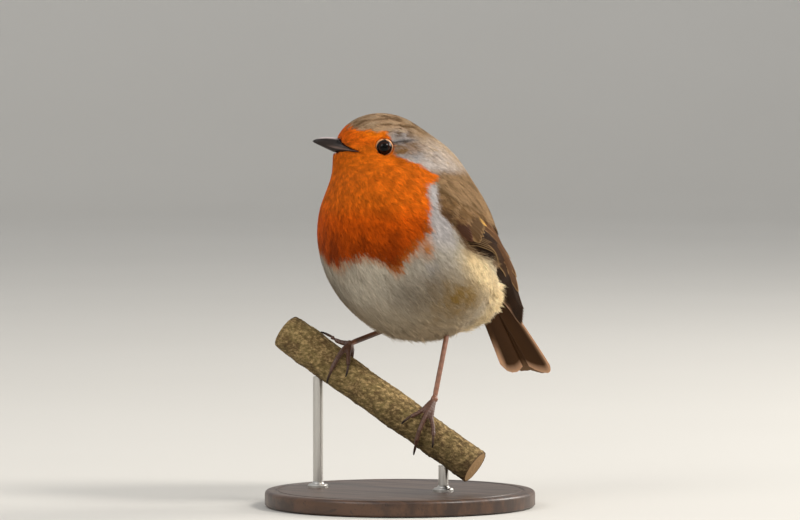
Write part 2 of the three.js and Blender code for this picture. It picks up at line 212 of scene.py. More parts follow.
class Finish:
    """A Principled material. Constants go on the shader's own sockets."""

    def __init__(self, name, **constants):
        self.material = bpy.data.materials.new(name)
        self.material.use_nodes = True
        self.tree = self.material.node_tree
        self.shader = self.tree.nodes["Principled BSDF"]
        for key, value in constants.items():
            self.shader.inputs[key.replace("_", " ")].default_value = value

    def node(self, kind, sockets=None, out=0, stops=None, **settings):
        node = self.tree.nodes.new("ShaderNode" + kind)
        for key, value in settings.items():
            setattr(node, key, value)
        if stops:
            ramp = node.color_ramp
            while len(ramp.elements) < len(stops):
                ramp.elements.new(0.5)
            for element, (place, colour) in zip(ramp.elements, stops):
                element.position = place
                element.color = (*colour, 1)
        for key, value in (sockets or {}).items():
            if isinstance(value, Wire):
                self.tree.links.new(value.socket, node.inputs[key])
            else:
                node.inputs[key].default_value = value
        return Wire(self, node.outputs[out])

    def feed(self, **wires):
        for key, wire in wires.items():
            self.tree.links.new(wire.socket, self.shader.inputs[key.replace("_", " ")])
        return self

    def place(self):
        return self.node("TexCoord", out=3)

    def parts(self, vector):
        """The vector's three numbers, each as a wire."""
        first = self.node("SeparateXYZ", {0: vector})
        return [Wire(self, socket) for socket in first.socket.node.outputs]

    def noise(self, scale, detail=3.0, roughness=0.55, place=None):
        sockets = {"Vector": place or self.place(), "Scale": scale, "Detail": detail}
        return self.node("TexNoise", {**sockets, "Roughness": roughness})

    def stretched(self, scale, turn=(0, 0, 0)):
        return self.node("Mapping", {"Vector": self.place(), "Scale": scale, "Rotation": turn})

    def mix(self, amount, a, b):
        sockets = {0: amount, 6: a, 7: b}
        for key in (6, 7):
            if not isinstance(sockets[key], Wire):
                sockets[key] = (*sockets[key], 1)
        return self.node("Mix", sockets, out=2, data_type="RGBA")

    def tint(self, colour, amount):
        """The colour, made lighter or darker by an amount near 1."""
        return self.node("VectorMath", {0: colour, "Scale": amount}, operation="SCALE")

    def painted(self, name):
        return self.node("Attribute", attribute_name=name)

    def bump(self, height, strength, depth):
        sockets = {"Height": height, "Strength": strength, "Distance": depth}
        return self.node("Bump", sockets)


def plumage_finish(name):
    finish = Finish(name, Roughness=0.85, Specular_IOR_Level=0.05, Sheen_Weight=0.06,
                    Sheen_Roughness=0.5, Sheen_Tint=(1.0, 0.86, 0.7, 1))
    fine = finish.noise(2600, 2)
    return finish.feed(Base_Color=finish.tint(finish.painted("dye"), 0.9 + fine * 0.2)).material


def vane_finish(name):
    """Wing and tail feathers: barbs run out from the shaft as fine slanting lines."""
    finish = Finish(name, Roughness=0.66, Specular_IOR_Level=0.05)
    along, across, _ = finish.parts(finish.node("UVMap", uv_map="vane"))
    slant = (across - 0.5).sum("ABSOLUTE")
    line = (along * 70 - slant * 22).sum("FRACT")
    ridge = (line - 0.5).sum("ABSOLUTE") * 2
    fine = finish.noise(900, 3)
    colour = finish.tint(finish.painted("dye"), 0.86 + fine * 0.16 + ridge * 0.12)
    return finish.feed(Base_Color=colour, Normal=finish.bump(ridge, 0.35, 0.00008)).material


# ---- Meshes from arrays -------------------------------------------------------------------------
def make_piece(name, points, faces, material, dye=None, uv=None, stands_for=()):
    """A mesh piece from corners in millimetres. `faces` is a row of triangles or of quads."""
    faces = np.asarray(faces)
    mesh = bpy.data.meshes.new(name)
    mesh.vertices.add(len(points))
    mesh.vertices.foreach_set("co", (np.asarray(points) * MM).astype(np.float32).ravel())
    sides = faces.shape[1]
    mesh.loops.add(faces.size)
    mesh.loops.foreach_set("vertex_index", faces.ravel().astype(np.int32))
    mesh.polygons.add(len(faces))
    mesh.polygons.foreach_set("loop_start", np.arange(0, faces.size, sides, dtype=np.int32))
    mesh.polygons.foreach_set("use_smooth", np.full(len(faces), True))
    mesh.update(calc_edges=True)
    if dye is not None:
        paint(mesh, dye)
    for uv_name, place in (uv or {}).items():
        layer = mesh.uv_layers.new(name=uv_name)
        layer.data.foreach_set("uv", place[faces.ravel()].astype(np.float32).ravel())
    piece = bpy.data.objects.new(name, mesh)
    bpy.context.scene.collection.objects.link(piece)
    return finish_piece(piece, material, stands_for)


def quads_of(grid):
    """The quads between the rows and columns of a grid of corner numbers."""
    return np.stack([grid[:-1, :-1], grid[:-1, 1:], grid[1:, 1:], grid[1:, :-1]], -1).reshape(-1, 4)


def paint(mesh, dye):
    layer = mesh.color_attributes.new("dye", "FLOAT_COLOR", "POINT")
    colours = np.ones((len(mesh.vertices), 4), np.float32)
    colours[:, :3] = np.clip(dye, 0, 1)
    layer.data.foreach_set("color", colours.ravel())


def finish_piece(piece, material, stands_for=()):
    piece.data.materials.clear()
    piece.data.materials.append(material)
    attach(piece, "root")
    if stands_for:
        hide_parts(*stands_for)
    return piece


def choose_only(piece):
    bpy.ops.object.select_all(action="DESELECT")
    piece.select_set(True)
    bpy.context.view_layer.objects.active = piece


def added(primitive, name, **settings):
    """A new primitive, the only thing selected."""
    bpy.ops.object.select_all(action="DESELECT")
    getattr(bpy.ops.mesh, f"primitive_{primitive}_add")(**settings)
    piece = bpy.context.object
    piece.name = name
    return piece


def edit(piece):
    """Opens the piece in edit mode, selected all over."""
    choose_only(piece)
    bpy.ops.object.mode_set(mode="EDIT")
    bpy.ops.mesh.select_all(action="SELECT")


def close_up(reach):
    """Merges corners that meet, points the faces outwards and leaves edit mode."""
    bpy.ops.mesh.select_all(action="SELECT")
    bpy.ops.mesh.remove_doubles(threshold=reach)
    bpy.ops.mesh.normals_make_consistent(inside=False)
    bpy.ops.object.mode_set(mode="OBJECT")


def smooth(piece):
    piece.data.polygons.foreach_set("use_smooth", [True] * len(piece.data.polygons))


def apply_modifier(piece, kind, **settings):
    choose_only(piece)
    modifier = piece.modifiers.new(kind.title(), kind)
    for key, value in settings.items():
        setattr(modifier, key, value)
    bpy.ops.object.modifier_apply(modifier=modifier.name)


def corners_of(piece):
    points = np.empty(len(piece.data.vertices) * 3)
    piece.data.vertices.foreach_get("co", points)
    return points.reshape(-1, 3) / MM


def move_corners(piece, points):
    piece.data.vertices.foreach_set("co", (points * MM).astype(np.float32).ravel())
    piece.data.update()


def triangles_of(piece):
    piece.data.calc_loop_triangles()
    tris = np.empty(len(piece.data.loop_triangles) * 3, int)
    piece.data.loop_triangles.foreach_get("vertices", tris)
    return tris.reshape(-1, 3)


class Surface:
    """A surface that feathers lie on."""

    def __init__(self, points, tris):
        self.points, self.tris = points, tris
        self.normals = corner_normals(points, tris)
        self.tree = BVHTree.FromPolygons(points.tolist(), tris.tolist())

    def smooth_normal(self, p, index):
        corners = self.points[self.tris[index]]
        a, b, c = corners[:, 0], corners[:, 1], corners[:, 2]
        face = np.cross(b - a, c - a)
        area = np.maximum(dot(face, face), 1e-12)
        u = dot(np.cross(b - p, c - p), face) / area
        v = dot(np.cross(c - p, a - p), face) / area
        weights = np.stack([u, v, 1 - u - v], -1)[..., None]
        return unit((self.normals[self.tris[index]] * weights).sum(1))

    def nearest(self, p):
        found = [self.tree.find_nearest(q) for q in p.tolist()]
        place = np.array([f[0][:] for f in found])
        return place, self.smooth_normal(place, np.array([f[2] for f in found]))

    def scatter(self, crowding):
        """Points spread over the surface, `crowding` of them to a square millimetre."""
        corners = self.points[self.tris]
        area = length(np.cross(corners[:, 1] - corners[:, 0], corners[:, 2] - corners[:, 0])) / 2
        share = np.cumsum(area * crowding(corners.mean(1)))
        count = int(share[-1])
        spots = (np.arange(count) + rng.random(count)) * share[-1] / count
        index = np.searchsorted(share, spots).clip(0, len(self.tris) - 1)
        a, b = rng.random((2, count, 1))
        fold = a + b > 1
        a, b = np.where(fold, 1 - a, a), np.where(fold, 1 - b, b)
        c = corners[index]
        p = c[:, 0] + (c[:, 1] - c[:, 0]) * a + (c[:, 2] - c[:, 0]) * b
        return p, self.smooth_normal(p, index)


# ---- Markings -----------------------------------------------------------------------------------
# The red bib's side edge, as heights and how far round from the front it lies there.
BIB_SIDE = np.array([
    (70, 28), (75, 35.5), (77.6, 39), (80.5, 43), (83, 47), (85.6, 52), (87.8, 54.5), (97.8, 54.5),
    (100.4, 66), (101.8, 80), (102.6, 92), (103.2, 99), (104.1, 105), (104.9, 108), (105.9, 110.5),
    (106.8, 115), (107.6, 118), (108.8, 113.5), (109.8, 107.5), (110.8, 101.5), (111.6, 98),
    (114.3, 96), (117.1, 94), (119, 88), (119.7, 79), (120.4, 58),
])
# Its lower edge, as places round from the front and the height there.
BIB_HEM = np.array([
    (-60, 88), (-53, 84), (-45, 81), (-36, 80.5), (-29, 80), (-24, 78.7), (-16, 77), (-6, 76.6),
    (3, 77.4), (12, 79.1), (16.7, 80.6), (21, 79.2), (26, 77.9), (31, 75.3), (35.5, 74.8),
    (39, 77.6), (42.5, 80.5), (60, 84),
])
# How far round the grey side reaches and where the mantle begins, each by height.
GREY_SIDE_END = np.array([(84, 76), (97, 70), (103, 84), (106, 112), (109, 146)])
MANTLE_START = np.array([(84, 80), (97, 71), (103, 86), (106, 116), (109, 150)])
# The height of the cream band over the flank, by the distance back.
CREAM_BAND = np.array([(-2, 80.5), (7, 75.5), (19, 71), (33, 66)])
DYES = {
    "forehead": shade(232, 108, 16),
    "brow": shade(240, 128, 16),
    "cheek": shade(220, 110, 18),
    "throat": shade(220, 108, 18),
    "breast": shade(206, 86, 6),
    # painted shade: the darker red of the lower bib where it lies in shade
    "hem": shade(124, 44, 4),
    "crown": shade(196, 162, 126),
    "crown_dark": shade(108, 82, 56),
    "ear": shade(150, 114, 76),
    "slate": shade(170, 168, 170),
    "nape": shade(198, 172, 140),
    "mantle": shade(158, 127, 92),
    "mantle_dark": shade(104, 80, 52),
    "rump": shade(142, 114, 78),
    "side": shade(192, 186, 184),
    "belly": shade(202, 192, 174),
    "ashy": shade(150, 138, 122),
    "flank": shade(138, 108, 54),
    "cream": shade(236, 212, 166),
    "vent": shade(228, 212, 186),
    "ochre": shade(186, 112, 40),
    "line": shade(50, 40, 34),
    "lore": shade(96, 44, 16),
    "thigh": shade(176, 156, 128),
    # painted shade on the lower belly, warm with light thrown up from the floor
    "painted_shade_low_belly": shade(172, 150, 116),
    "blue_grey": shade(160, 157, 155),
    # painted shade in the parting between the belly's feathers
    "painted_shade_parting": shade(84, 72, 54),
    "under_wing": shade(240, 228, 206),
    "neck": shade(216, 204, 194),
}
BROWN = shade(128, 94, 58)
GOLD = shade(206, 160, 84)
RUST_BROWN = shade(86, 56, 40)
DARK_BROWN = shade(78, 50, 26)
QUILL_BROWN = shade(60, 38, 20)
BUFF = shade(190, 152, 104)
PINK_BUFF = shade(186, 146, 116)
# Patches on each flank: the dye and its tone, how strongly it lies and how much streaks and clouds
# add to that, then its centre and its radii outwards, back and up.
FLANK_PATCHES = (
    # The ashy patches are grey plumage darkened with painted shade, and the parting is a line of painted
    # shade.
    ("ashy", 0.62, (0.65, 0.35, 0), (13, -14, 66.5), (5, 7, 8)),
    ("ashy", 0.74, (0.75, 0.3, 0), (17.5, -11, 70), (7.5, 8, 8)),
    ("blue_grey", 1, (0.5, 0.5, 0), (20, -13, 77.5), (6, 7, 4.5)),
    ("painted_shade_parting", 1, (0.75, 0, 0.4), (15.5, -13, 63), (1.3, 5, 3.4)),
    ("flank", 1, (1.0, 0.4, 0.3), (22, 3, 66.5), (10, 13, 8.5)),
)
# The bib's red from its hem upwards: the dye and the heights between which it comes in.
BIB_REDS = (("throat", 89, 98), ("cheek", 101, 107), ("forehead", 113.5, 116))


def bib_edge(p):
    """Millimetres in from the edge of the red bib; negative outside it."""
    turn, out = body_turn(p)
    z = p[..., 2]
    side = (follow(BIB_SIDE, z) - abs(turn)) * np.radians(1) * out
    hem = z - follow(BIB_HEM, turn)
    brow = HEAD_AT[2] + 7.9 - 0.02 * abs(turn) - z
    return np.minimum(np.minimum(side, hem), brow)


class Markings:
    """The plumage's colours at places on the bird, each dye laid over the last."""

    FALL = unit(np.array([0, 0.62, -0.78]))  # the way feathers run over the body

    def __init__(self, p):
        self.p, self.y, self.z = p, p[..., 1], p[..., 2]
        self.turn, _ = body_turn(p)
        self.around = abs(self.turn)
        self.forward, self.left, self.up = head_place(p)
        self.face = np.stack([self.forward, abs(self.left), self.up], -1)
        self.ragged = cloud(p, 2.2) * 0.7 + cloud(p, 5.5, 9.3) * 0.7
        drawn = p - self.FALL * (p @ self.FALL * 0.8)[..., None]
        # Streaks run with the feathers: down and back over the body, and back over the head.
        streaks = cloud(drawn, 0.9, 2.0), cloud(self.face * (0.2, 1, 1), 0.75, 7.0)
        self.streak = blend(*streaks, ease(104, 110, self.z))
        self.patchy = cloud(drawn, 2.4, 6.1)
        self.colour = np.broadcast_to(DYES["belly"], p.shape).copy()
        self.underparts()
        self.upperparts()
        self.crown_and_nape()
        self.bib()
        self.face_lines()
        mottle = 0.07 * cloud(p, 9, 4.4) + 0.12 * self.streak + 0.05 * self.patchy
        self.colour = self.colour * (1 + mottle)[..., None]

    def lay(self, dye, amount):
        dye = DYES[dye] if isinstance(dye, str) else dye
        self.colour = self.colour + (dye - self.colour) * np.clip(amount, 0, 1)[..., None]

    def underparts(self):
        y, z, streak, patchy = self.y, self.z, self.streak, self.patchy
        grey = 0.5 * ease(-0.1, 0.8, cloud(self.p, 7, 2.2)) + 0.4 * ease(0.1, 0.8, patchy)
        self.lay("ashy", grey + 0.3 * ease(0, 0.7, streak))
        # Painted shade on the lower belly, warm with light thrown up from the floor.
        self.lay("painted_shade_low_belly", 0.6 * ease(70, 56, z) * ease(36, 22, y))
        sides = abs(self.p[..., 0])
        place = np.stack([sides, y, z], -1)
        for dye, tone, (amount, streaky, cloudy), centre, radii in FLANK_PATCHES:
            amount = amount + streaky * streak + cloudy * patchy
            self.lay(DYES[dye] * tone, amount * near(place, centre, radii))
        band = np.exp(-((z - follow(CREAM_BAND, y)) / 4.2) ** 2) * ease(-7, 3, y)
        self.lay("cream", 1.2 * band * ease(12, 17, sides + 0.5 * np.maximum(y - 10, 0)))
        self.lay("cream", 0.9 * ease(20, 32, y) * ease(74, 66, z))
        self.lay("vent", ease(34, 42, y) * ease(72, 64, z))
        self.lay("under_wing", near(place, (22, 24, 76), (6, 8, 3.2)))
        # The pale grey side between bib and wing
        side = ease(79, 86, z) * ease(-2, 6, follow(GREY_SIDE_END, z) - self.around)
        self.lay("side", side * ease(110, 104, z))

    def upperparts(self):
        y, z, streak = self.y, self.z, self.streak
        back = ease(-3, 5, self.around - follow(MANTLE_START, z))
        over = back * ease(78, 85, z) * ease(122, 112, z)
        self.lay("mantle", over)
        # Painted light: the upper mantle is made paler where light falls on it from above.
        self.lay(DYES["mantle"] * 1.3, 0.8 * over * ease(97, 104, z))
        for hand in (1, -1):
            over = np.maximum(over, self.shoulder(hand))
        low_rump = ease(16, 28, y) * ease(74, 84, z + 0.2 * y)
        high_rump = ease(14, 22, y) * ease(108, 112, z + 1.045 * y)
        rump = np.maximum(low_rump, high_rump)
        self.lay("rump", rump)
        over = np.maximum(over, rump)
        dark = 0.7 * ease(-0.1, 0.6, streak) + 0.5 * ease(0.0, 0.7, self.patchy)
        self.lay("mantle_dark", over * dark)
        self.lay(DYES["mantle"] * 1.35, 0.5 * over * ease(-0.1, -0.6, streak))

    def shoulder(self, hand):
        """The small coverts over the root of a wing, with dark and pale shaft lines, and the shadow
        under the scapulars. Returns how far they cover each place."""
        s, w, outward = wing_place(self.p, hand)
        on = ease(-0.035, -0.005, s) * ease(-0.8, 0.5, w - follow(WINDOW_LOW, s))
        on = on * (w < 18) * (outward > -6) * (s < 0.8) * (self.p[..., 0] * hand > 0)
        self.lay("mantle", on)
        above = w - follow(SCAPULAR_EDGE, s)
        coverts = on * ease(0.6, -0.6, above) * ease(0.34, 0.28, s)
        tone = blend(0.82, 1.25, ease(-0.5, 0.6, self.streak))[..., None]
        self.lay(BROWN * tone, 0.85 * coverts)
        shafts = cloud(np.stack([s * 11, w / 0.85, outward * 0], -1), 1, 3.3)
        self.lay(BROWN * 0.5, 0.8 * coverts * ease(0.05, 0.55, shafts))
        self.lay(BROWN * 1.6, 0.6 * coverts * ease(-0.1, -0.6, shafts))
        bend = ease(1.2, -0.6, w - follow(BEND_OF_WING, s)) * ease(-0.03, 0.02, s)
        self.lay(RUST_BROWN * 0.75, 0.85 * on * bend)
        shadow = np.exp(-((above / 0.8) ** 2)) * ease(-0.01, 0.04, s) * ease(0.32, 0.26, s)
        self.lay("mantle_dark", 0.75 * shadow * on)
        return on

    def crown_and_nape(self):
        around, z, forward, up, face = self.around, self.z, self.forward, self.up, self.face
        streak = self.streak
        head = ease(-11.5, -4.5, up + self.ragged * 1.6) * ease(103, 108, z)
        self.lay("slate", head * ease(88, 96, around))
        self.lay("nape", head * ease(128, 150, around))
        neck = ease(-0.5, -5, up) * ease(92, 103, around) * ease(170, 146, around)
        neck = np.maximum(neck, near(np.stack([around, z], -1), (150, 109.5), (24, 6)))
        self.lay("neck", head * neck * (0.8 + 0.7 * streak))
        ear = near(face, (-3.6, 12, 0.0), (5.6, 5, 2.2)) + 0.7 * near(face, (-9.5, 12, 1.6), (5.5, 5, 2.8))
        self.lay("ear", 0.95 * head * ear * (0.85 + 0.5 * streak))
        top = ease(2.4, 5.2, up + 0.10 * forward + self.ragged * 0.5)
        self.lay("crown", top * ease(2.0, 6.0, up + 0.35 * np.maximum(-forward, 0)))
        self.lay("mantle", ease(-2, -8, forward) * ease(0.5, 5, up - 0.1 * forward - 2) * head)
        self.lay("slate", 0.85 * near(face, (-3.6, 9, 4.7), (3.8, 3.4, 1.7)))
        self.lay("crown_dark", 0.85 * ease(-0.1, 0.55, streak) * top)
        front = near(np.stack([forward, up], -1), (7.5, 9.0), (5.5, 2.2))
        self.lay("crown_dark", 0.5 * front * top)
        self.lay("nape", 0.7 * ease(-0.1, -0.6, streak) * top)
        self.lay("crown_dark", 0.5 * head * ease(-0.05, 0.6, streak) * ease(88, 96, around))

    def bib(self):
        around, z, streak, patchy = self.around, self.z, self.streak, self.patchy
        edge = bib_edge(self.p) + self.ragged * 0.9 + 0.5 * streak
        bib = ease(-0.5, 0.7, edge)
        # Painted shade: the red darkens towards the hem and round the bird's left side, where the lower bib
        # lies in shade.
        out_of_painted_shade = ease(74, 93, z + 2.5 * patchy - 0.06 * self.turn)
        red = blend(DYES["hem"], DYES["breast"], out_of_painted_shade[..., None])
        for dye, low, high in BIB_REDS:
            red = blend(red, DYES[dye], ease(low, high, z)[..., None])
        red = blend(red, DYES["brow"], near(self.face, (3.2, 8.5, 6.2), (4.5, 4, 1.7))[..., None])
        red = red * (1 + 0.26 * streak + 0.08 * patchy)[..., None]
        self.lay("ochre", 0.95 * near(np.stack([around, z], -1), (53, 82.2), (3.6, 2.6)))
        self.lay("ochre", 0.6 * ease(-2.2, -0.2, edge) * ease(92, 84, z))
        self.lay(red, bib)
        self.lay("ochre", 0.5 * bib * ease(3.2, 0.5, edge) * ease(94, 86, z) * ease(20, 40, around))

    def face_lines(self):
        """The dark line behind each eye, the lores, the paler cheek and the buff thighs."""
        face, beside = self.face, self.face[..., [0, 2]]
        behind_eye = near(beside, (-4.2, 2.75), (4.6, 0.45)) * ease(-0.3, -1.6, self.forward)
        self.lay("line", 0.9 * behind_eye * (abs(self.left) > 6))
        self.lay("lore", 0.75 * near(beside, (11.0, 1.9), (3.2, 0.8)) * (abs(self.left) < 6.5))
        self.lay("lore", 0.35 * near(face, (6.0, 8, 1.2), (2.6, 3, 1.4)))
        self.lay("throat", 0.6 * near(face, (7.0, 7, -1.8), (5, 4, 1.3)))
        self.lay("thigh", near(np.stack([abs(self.p[..., 0]), self.z], -1), (11, 53), (5, 4.5)))


def markings(p):
    return Markings(p).colour


# ---- The lie and depth of the coat --------------------------------------------------------------
def lie(p, n):
    """The way feathers point: away from the bill and in towards the tail, round the eyes and down
    the legs, always along the surface."""
    away, onward = p - BILL_BASE, TAIL_BASE - p
    flow = away / dot(away, away)[:, None] + onward / dot(onward, onward)[:, None]
    flow = unit(flow - n * dot(flow, n)[:, None])
    for eye in EYES.values():
        out = unit(p - eye)
        inward = np.minimum(dot(flow, out), 0) * ease(6.5, 3.2, length(p - eye))
        flow = flow - out * (inward * 1.05)[:, None]
    for ankle in ANKLES:
        pull = np.exp(-((length(p - ankle) / 6.5) ** 2))
        flow = blend(flow, np.array([0, 0.1, -1.0]), pull[:, None])
    return unit(flow - n * dot(flow, n)[:, None])


def coat_depth(p):
    """How far the skin lies inside the coat's outer face: less over the nape, and least by the
    bill, the eyes and the ankles."""
    depth = 1.9 - 0.5 * ease(-5, 20, p[..., 1]) * ease(84, 96, p[..., 2])
    depth = blend(0.5, depth, ease(7, 34, length(p - BILL_BASE)))
    for eye in EYES.values():
        depth = blend(0.45, depth, ease(2.5, 9, length(p - eye)))
    for ankle in ANKLES:
        depth = blend(0.9, depth, ease(4, 10, length(p - ankle)))
    return depth


def feather_length(p):
    """Long below, shorter above, and shortest by the bill, the eyes and the ankles."""
    long = blend(4.6, 8.2, ease(96, 78, p[..., 2]))
    long = blend(1.35, long, ease(4, 36, length(p - BILL_BASE)))
    for eye in EYES.values():
        long = np.minimum(long, blend(1.1, 8.5, ease(2.2, 12, length(p - eye))))
    for ankle in ANKLES:
        long = blend(3.0, long, ease(3, 9, length(p - ankle)))
    return long


# Along each wing, the heights across it where the scapulars end, where the reddish feathers at its
# bend end, and between which its large feathers lie bare of the coat.
SCAPULAR_EDGE = np.array([(0.007, 7.1), (0.075, 4.6), (0.147, 3.1), (0.273, 3.4), (0.367, 9.6)])
BEND_OF_WING = np.array([(0, 1.5), (0.05, -1.0), (0.113, -4.2), (0.17, -6.0)])
WINDOW_LOW = np.array([
    (-0.05, 0.6), (0, -0.8), (0.05, -3.4), (0.113, -6.3), (0.173, -7.5), (0.297, -7.3), (0.455, -4.9),
    (0.56, -5.6), (0.75, -7.0),
])
WINDOW_HIGH = np.array([
    (-0.05, -0.2), (0, -0.6), (0.05, -1.4), (0.09, -0.6), (0.12, 1.2), (0.147, 2.6), (0.273, 3.2),
    (0.367, 5.6), (0.45, 5.6), (0.6, 3.4), (0.75, 1.5),
])
WING_STATIONS = np.linspace(0, 1, 81)


def wing_place(p, hand):
    """How far along a wing's line, across it towards the back and out from it, in millimetres."""
    q = p * (hand, 1, 1)
    centre, ahead, side, out = wing_frame(WING_STATIONS)
    k = np.argmin(length(q[:, None] - centre[None]), 1)
    offset = q - centre[k]
    share = WING_STATIONS[k] + dot(offset, ahead[k]) / WING_LENGTH
    return share, dot(offset, side[k]), dot(offset, out[k])


def bare_of_coat(p, margin=0.0):
    """Whether each place lies where a wing's large feathers show."""
    bare = np.zeros(len(p), bool)
    for hand in (1, -1):
        s, w, out = wing_place(p, hand)
        beside = (out > -5) & (out < 7) & (p[:, 0] * hand > 4)
        within = (w > follow(WINDOW_LOW, s) + margin) & (w < follow(WINDOW_HIGH, s) - margin)
        bare |= (s > -0.05) & (s < 0.98) & within & beside
    return bare


# ---- Skin ---------------------------------------------------------------------------------------
FLESH = ("head", "neck", "trunk", "thigh_left", "thigh_right")
BODY_CORE = np.array([-0.5, 2, 99])
OUTSIDE, INNERMOST = 140, 20  # from the core: beyond the bird, and the least the skin may reach
SKIN_ROUNDS, DRAPE_ROUNDS = 14, 34  # how often the skin and the draped surface are relaxed
WING_FRONT = 26  # how far back the draped surface passes over the wings
EYE_SINK, BILL_SINK, GAPE_SINK = 2.2, 3.2, 2.9


def swelled(name, amount=0.2):
    """A node's mesh grown a little, so that it meets its neighbours across their clearance."""
    points, tris = node_mesh(name)
    return points + corner_normals(points, tris) * amount, tris


def joined(meshes):
    points, tris, start = [], [], 0
    for p, t in meshes:
        points.append(p)
        tris.append(t + start)
        start += len(p)
    return np.concatenate(points), np.concatenate(tris)


def relaxed(points, tris, rounds):
    """The surface with each corner drawn half way to the middle of its neighbours, several times."""
    edges = np.concatenate([tris[:, [0, 1]], tris[:, [1, 2]], tris[:, [2, 0]]])
    count = np.bincount(edges[:, 0], minlength=len(points))[:, None]
    for _ in range(rounds):
        total = [np.bincount(edges[:, 0], points[edges[:, 1], k], len(points)) for k in range(3)]
        points = (points + np.stack(total, 1) / count) / 2
    return points


def seen_from_core(meshes, rays):
    """Where the rays out from the bird's core leave the joined meshes."""
    points, tris = meshes
    tree = BVHTree.FromPolygons(points.tolist(), tris.tolist())
    core, places = Vector(BODY_CORE), []
    for ray in rays.tolist():
        ray = Vector(ray)
        hit = tree.ray_cast(core + ray * OUTSIDE, -ray)[0]
        places.append((hit or core + ray * INNERMOST)[:])
    return np.array(places)


def sink_for_face_parts(p):
    """Draws the skin back behind each eyeball, the bill's root and the gape."""
    for eye in EYES.values():
        axis = unit(np.array([eye[0] - HEAD_AT[0], eye[1] - HEAD_AT[1], 0]))
        offset = p - eye
        aside = length(offset - axis * (offset @ axis)[:, None])
        sunk = ease(EYE_OPENING + 0.9, EYE_OPENING - 0.2, aside) * ease(7, 5, length(offset))
        p = p - axis * (sunk * EYE_SINK)[:, None]
    forward, left, up = head_place(p)
    behind_bill = ease(4.3, 2.7, np.hypot(left, 1.1 * (up - 1.8))) * ease(8, 10, forward)
    p = p - FACE * (BILL_SINK * behind_bill)[:, None]
    return p - CHEEK * (np.sign(left) * GAPE_SINK * gape_zone(p, 0.7))[:, None]


def build_skin():
    """The skin under the coat, and the rounder surface that the coat is laid on, which also passes
    over the bend of each wing."""
    flesh = joined([swelled(name) for name in (*FLESH, "eye_left", "eye_right")])
    wings = joined([swelled(f"wing_{name}", 0.1) for name in ("left", "right")])
    front = wings[0][wings[1]].mean(1)[:, 1] < WING_FRONT
    over = joined([flesh, (wings[0], wings[1][front])])
    skin = added("ico_sphere", "skin", subdivisions=7, radius=0.05)
    rays = unit(unit(corners_of(skin)) - UP * 0.4)
    tris = triangles_of(skin)
    outside = relaxed(seen_from_core(flesh, rays), tris, SKIN_ROUNDS)
    draped = relaxed(seen_from_core(over, rays), tris, DRAPE_ROUNDS)
    inside = outside - corner_normals(outside, tris) * coat_depth(outside)[:, None]
    under = draped - corner_normals(draped, tris) * coat_depth(draped)[:, None]
    move_corners(skin, sink_for_face_parts(inside))
    smooth(skin)
    dye = np.where(bare_of_coat(outside, 0.6)[:, None], QUILL_BROWN, markings(outside))
    paint(skin.data, dye * 0.8)
    finish_piece(skin, PLUMAGE, FLESH)
    return Surface(under, tris), Surface(draped, tris)


# ---- Tufts --------------------------------------------------------------------------------------
STATIONS = 4


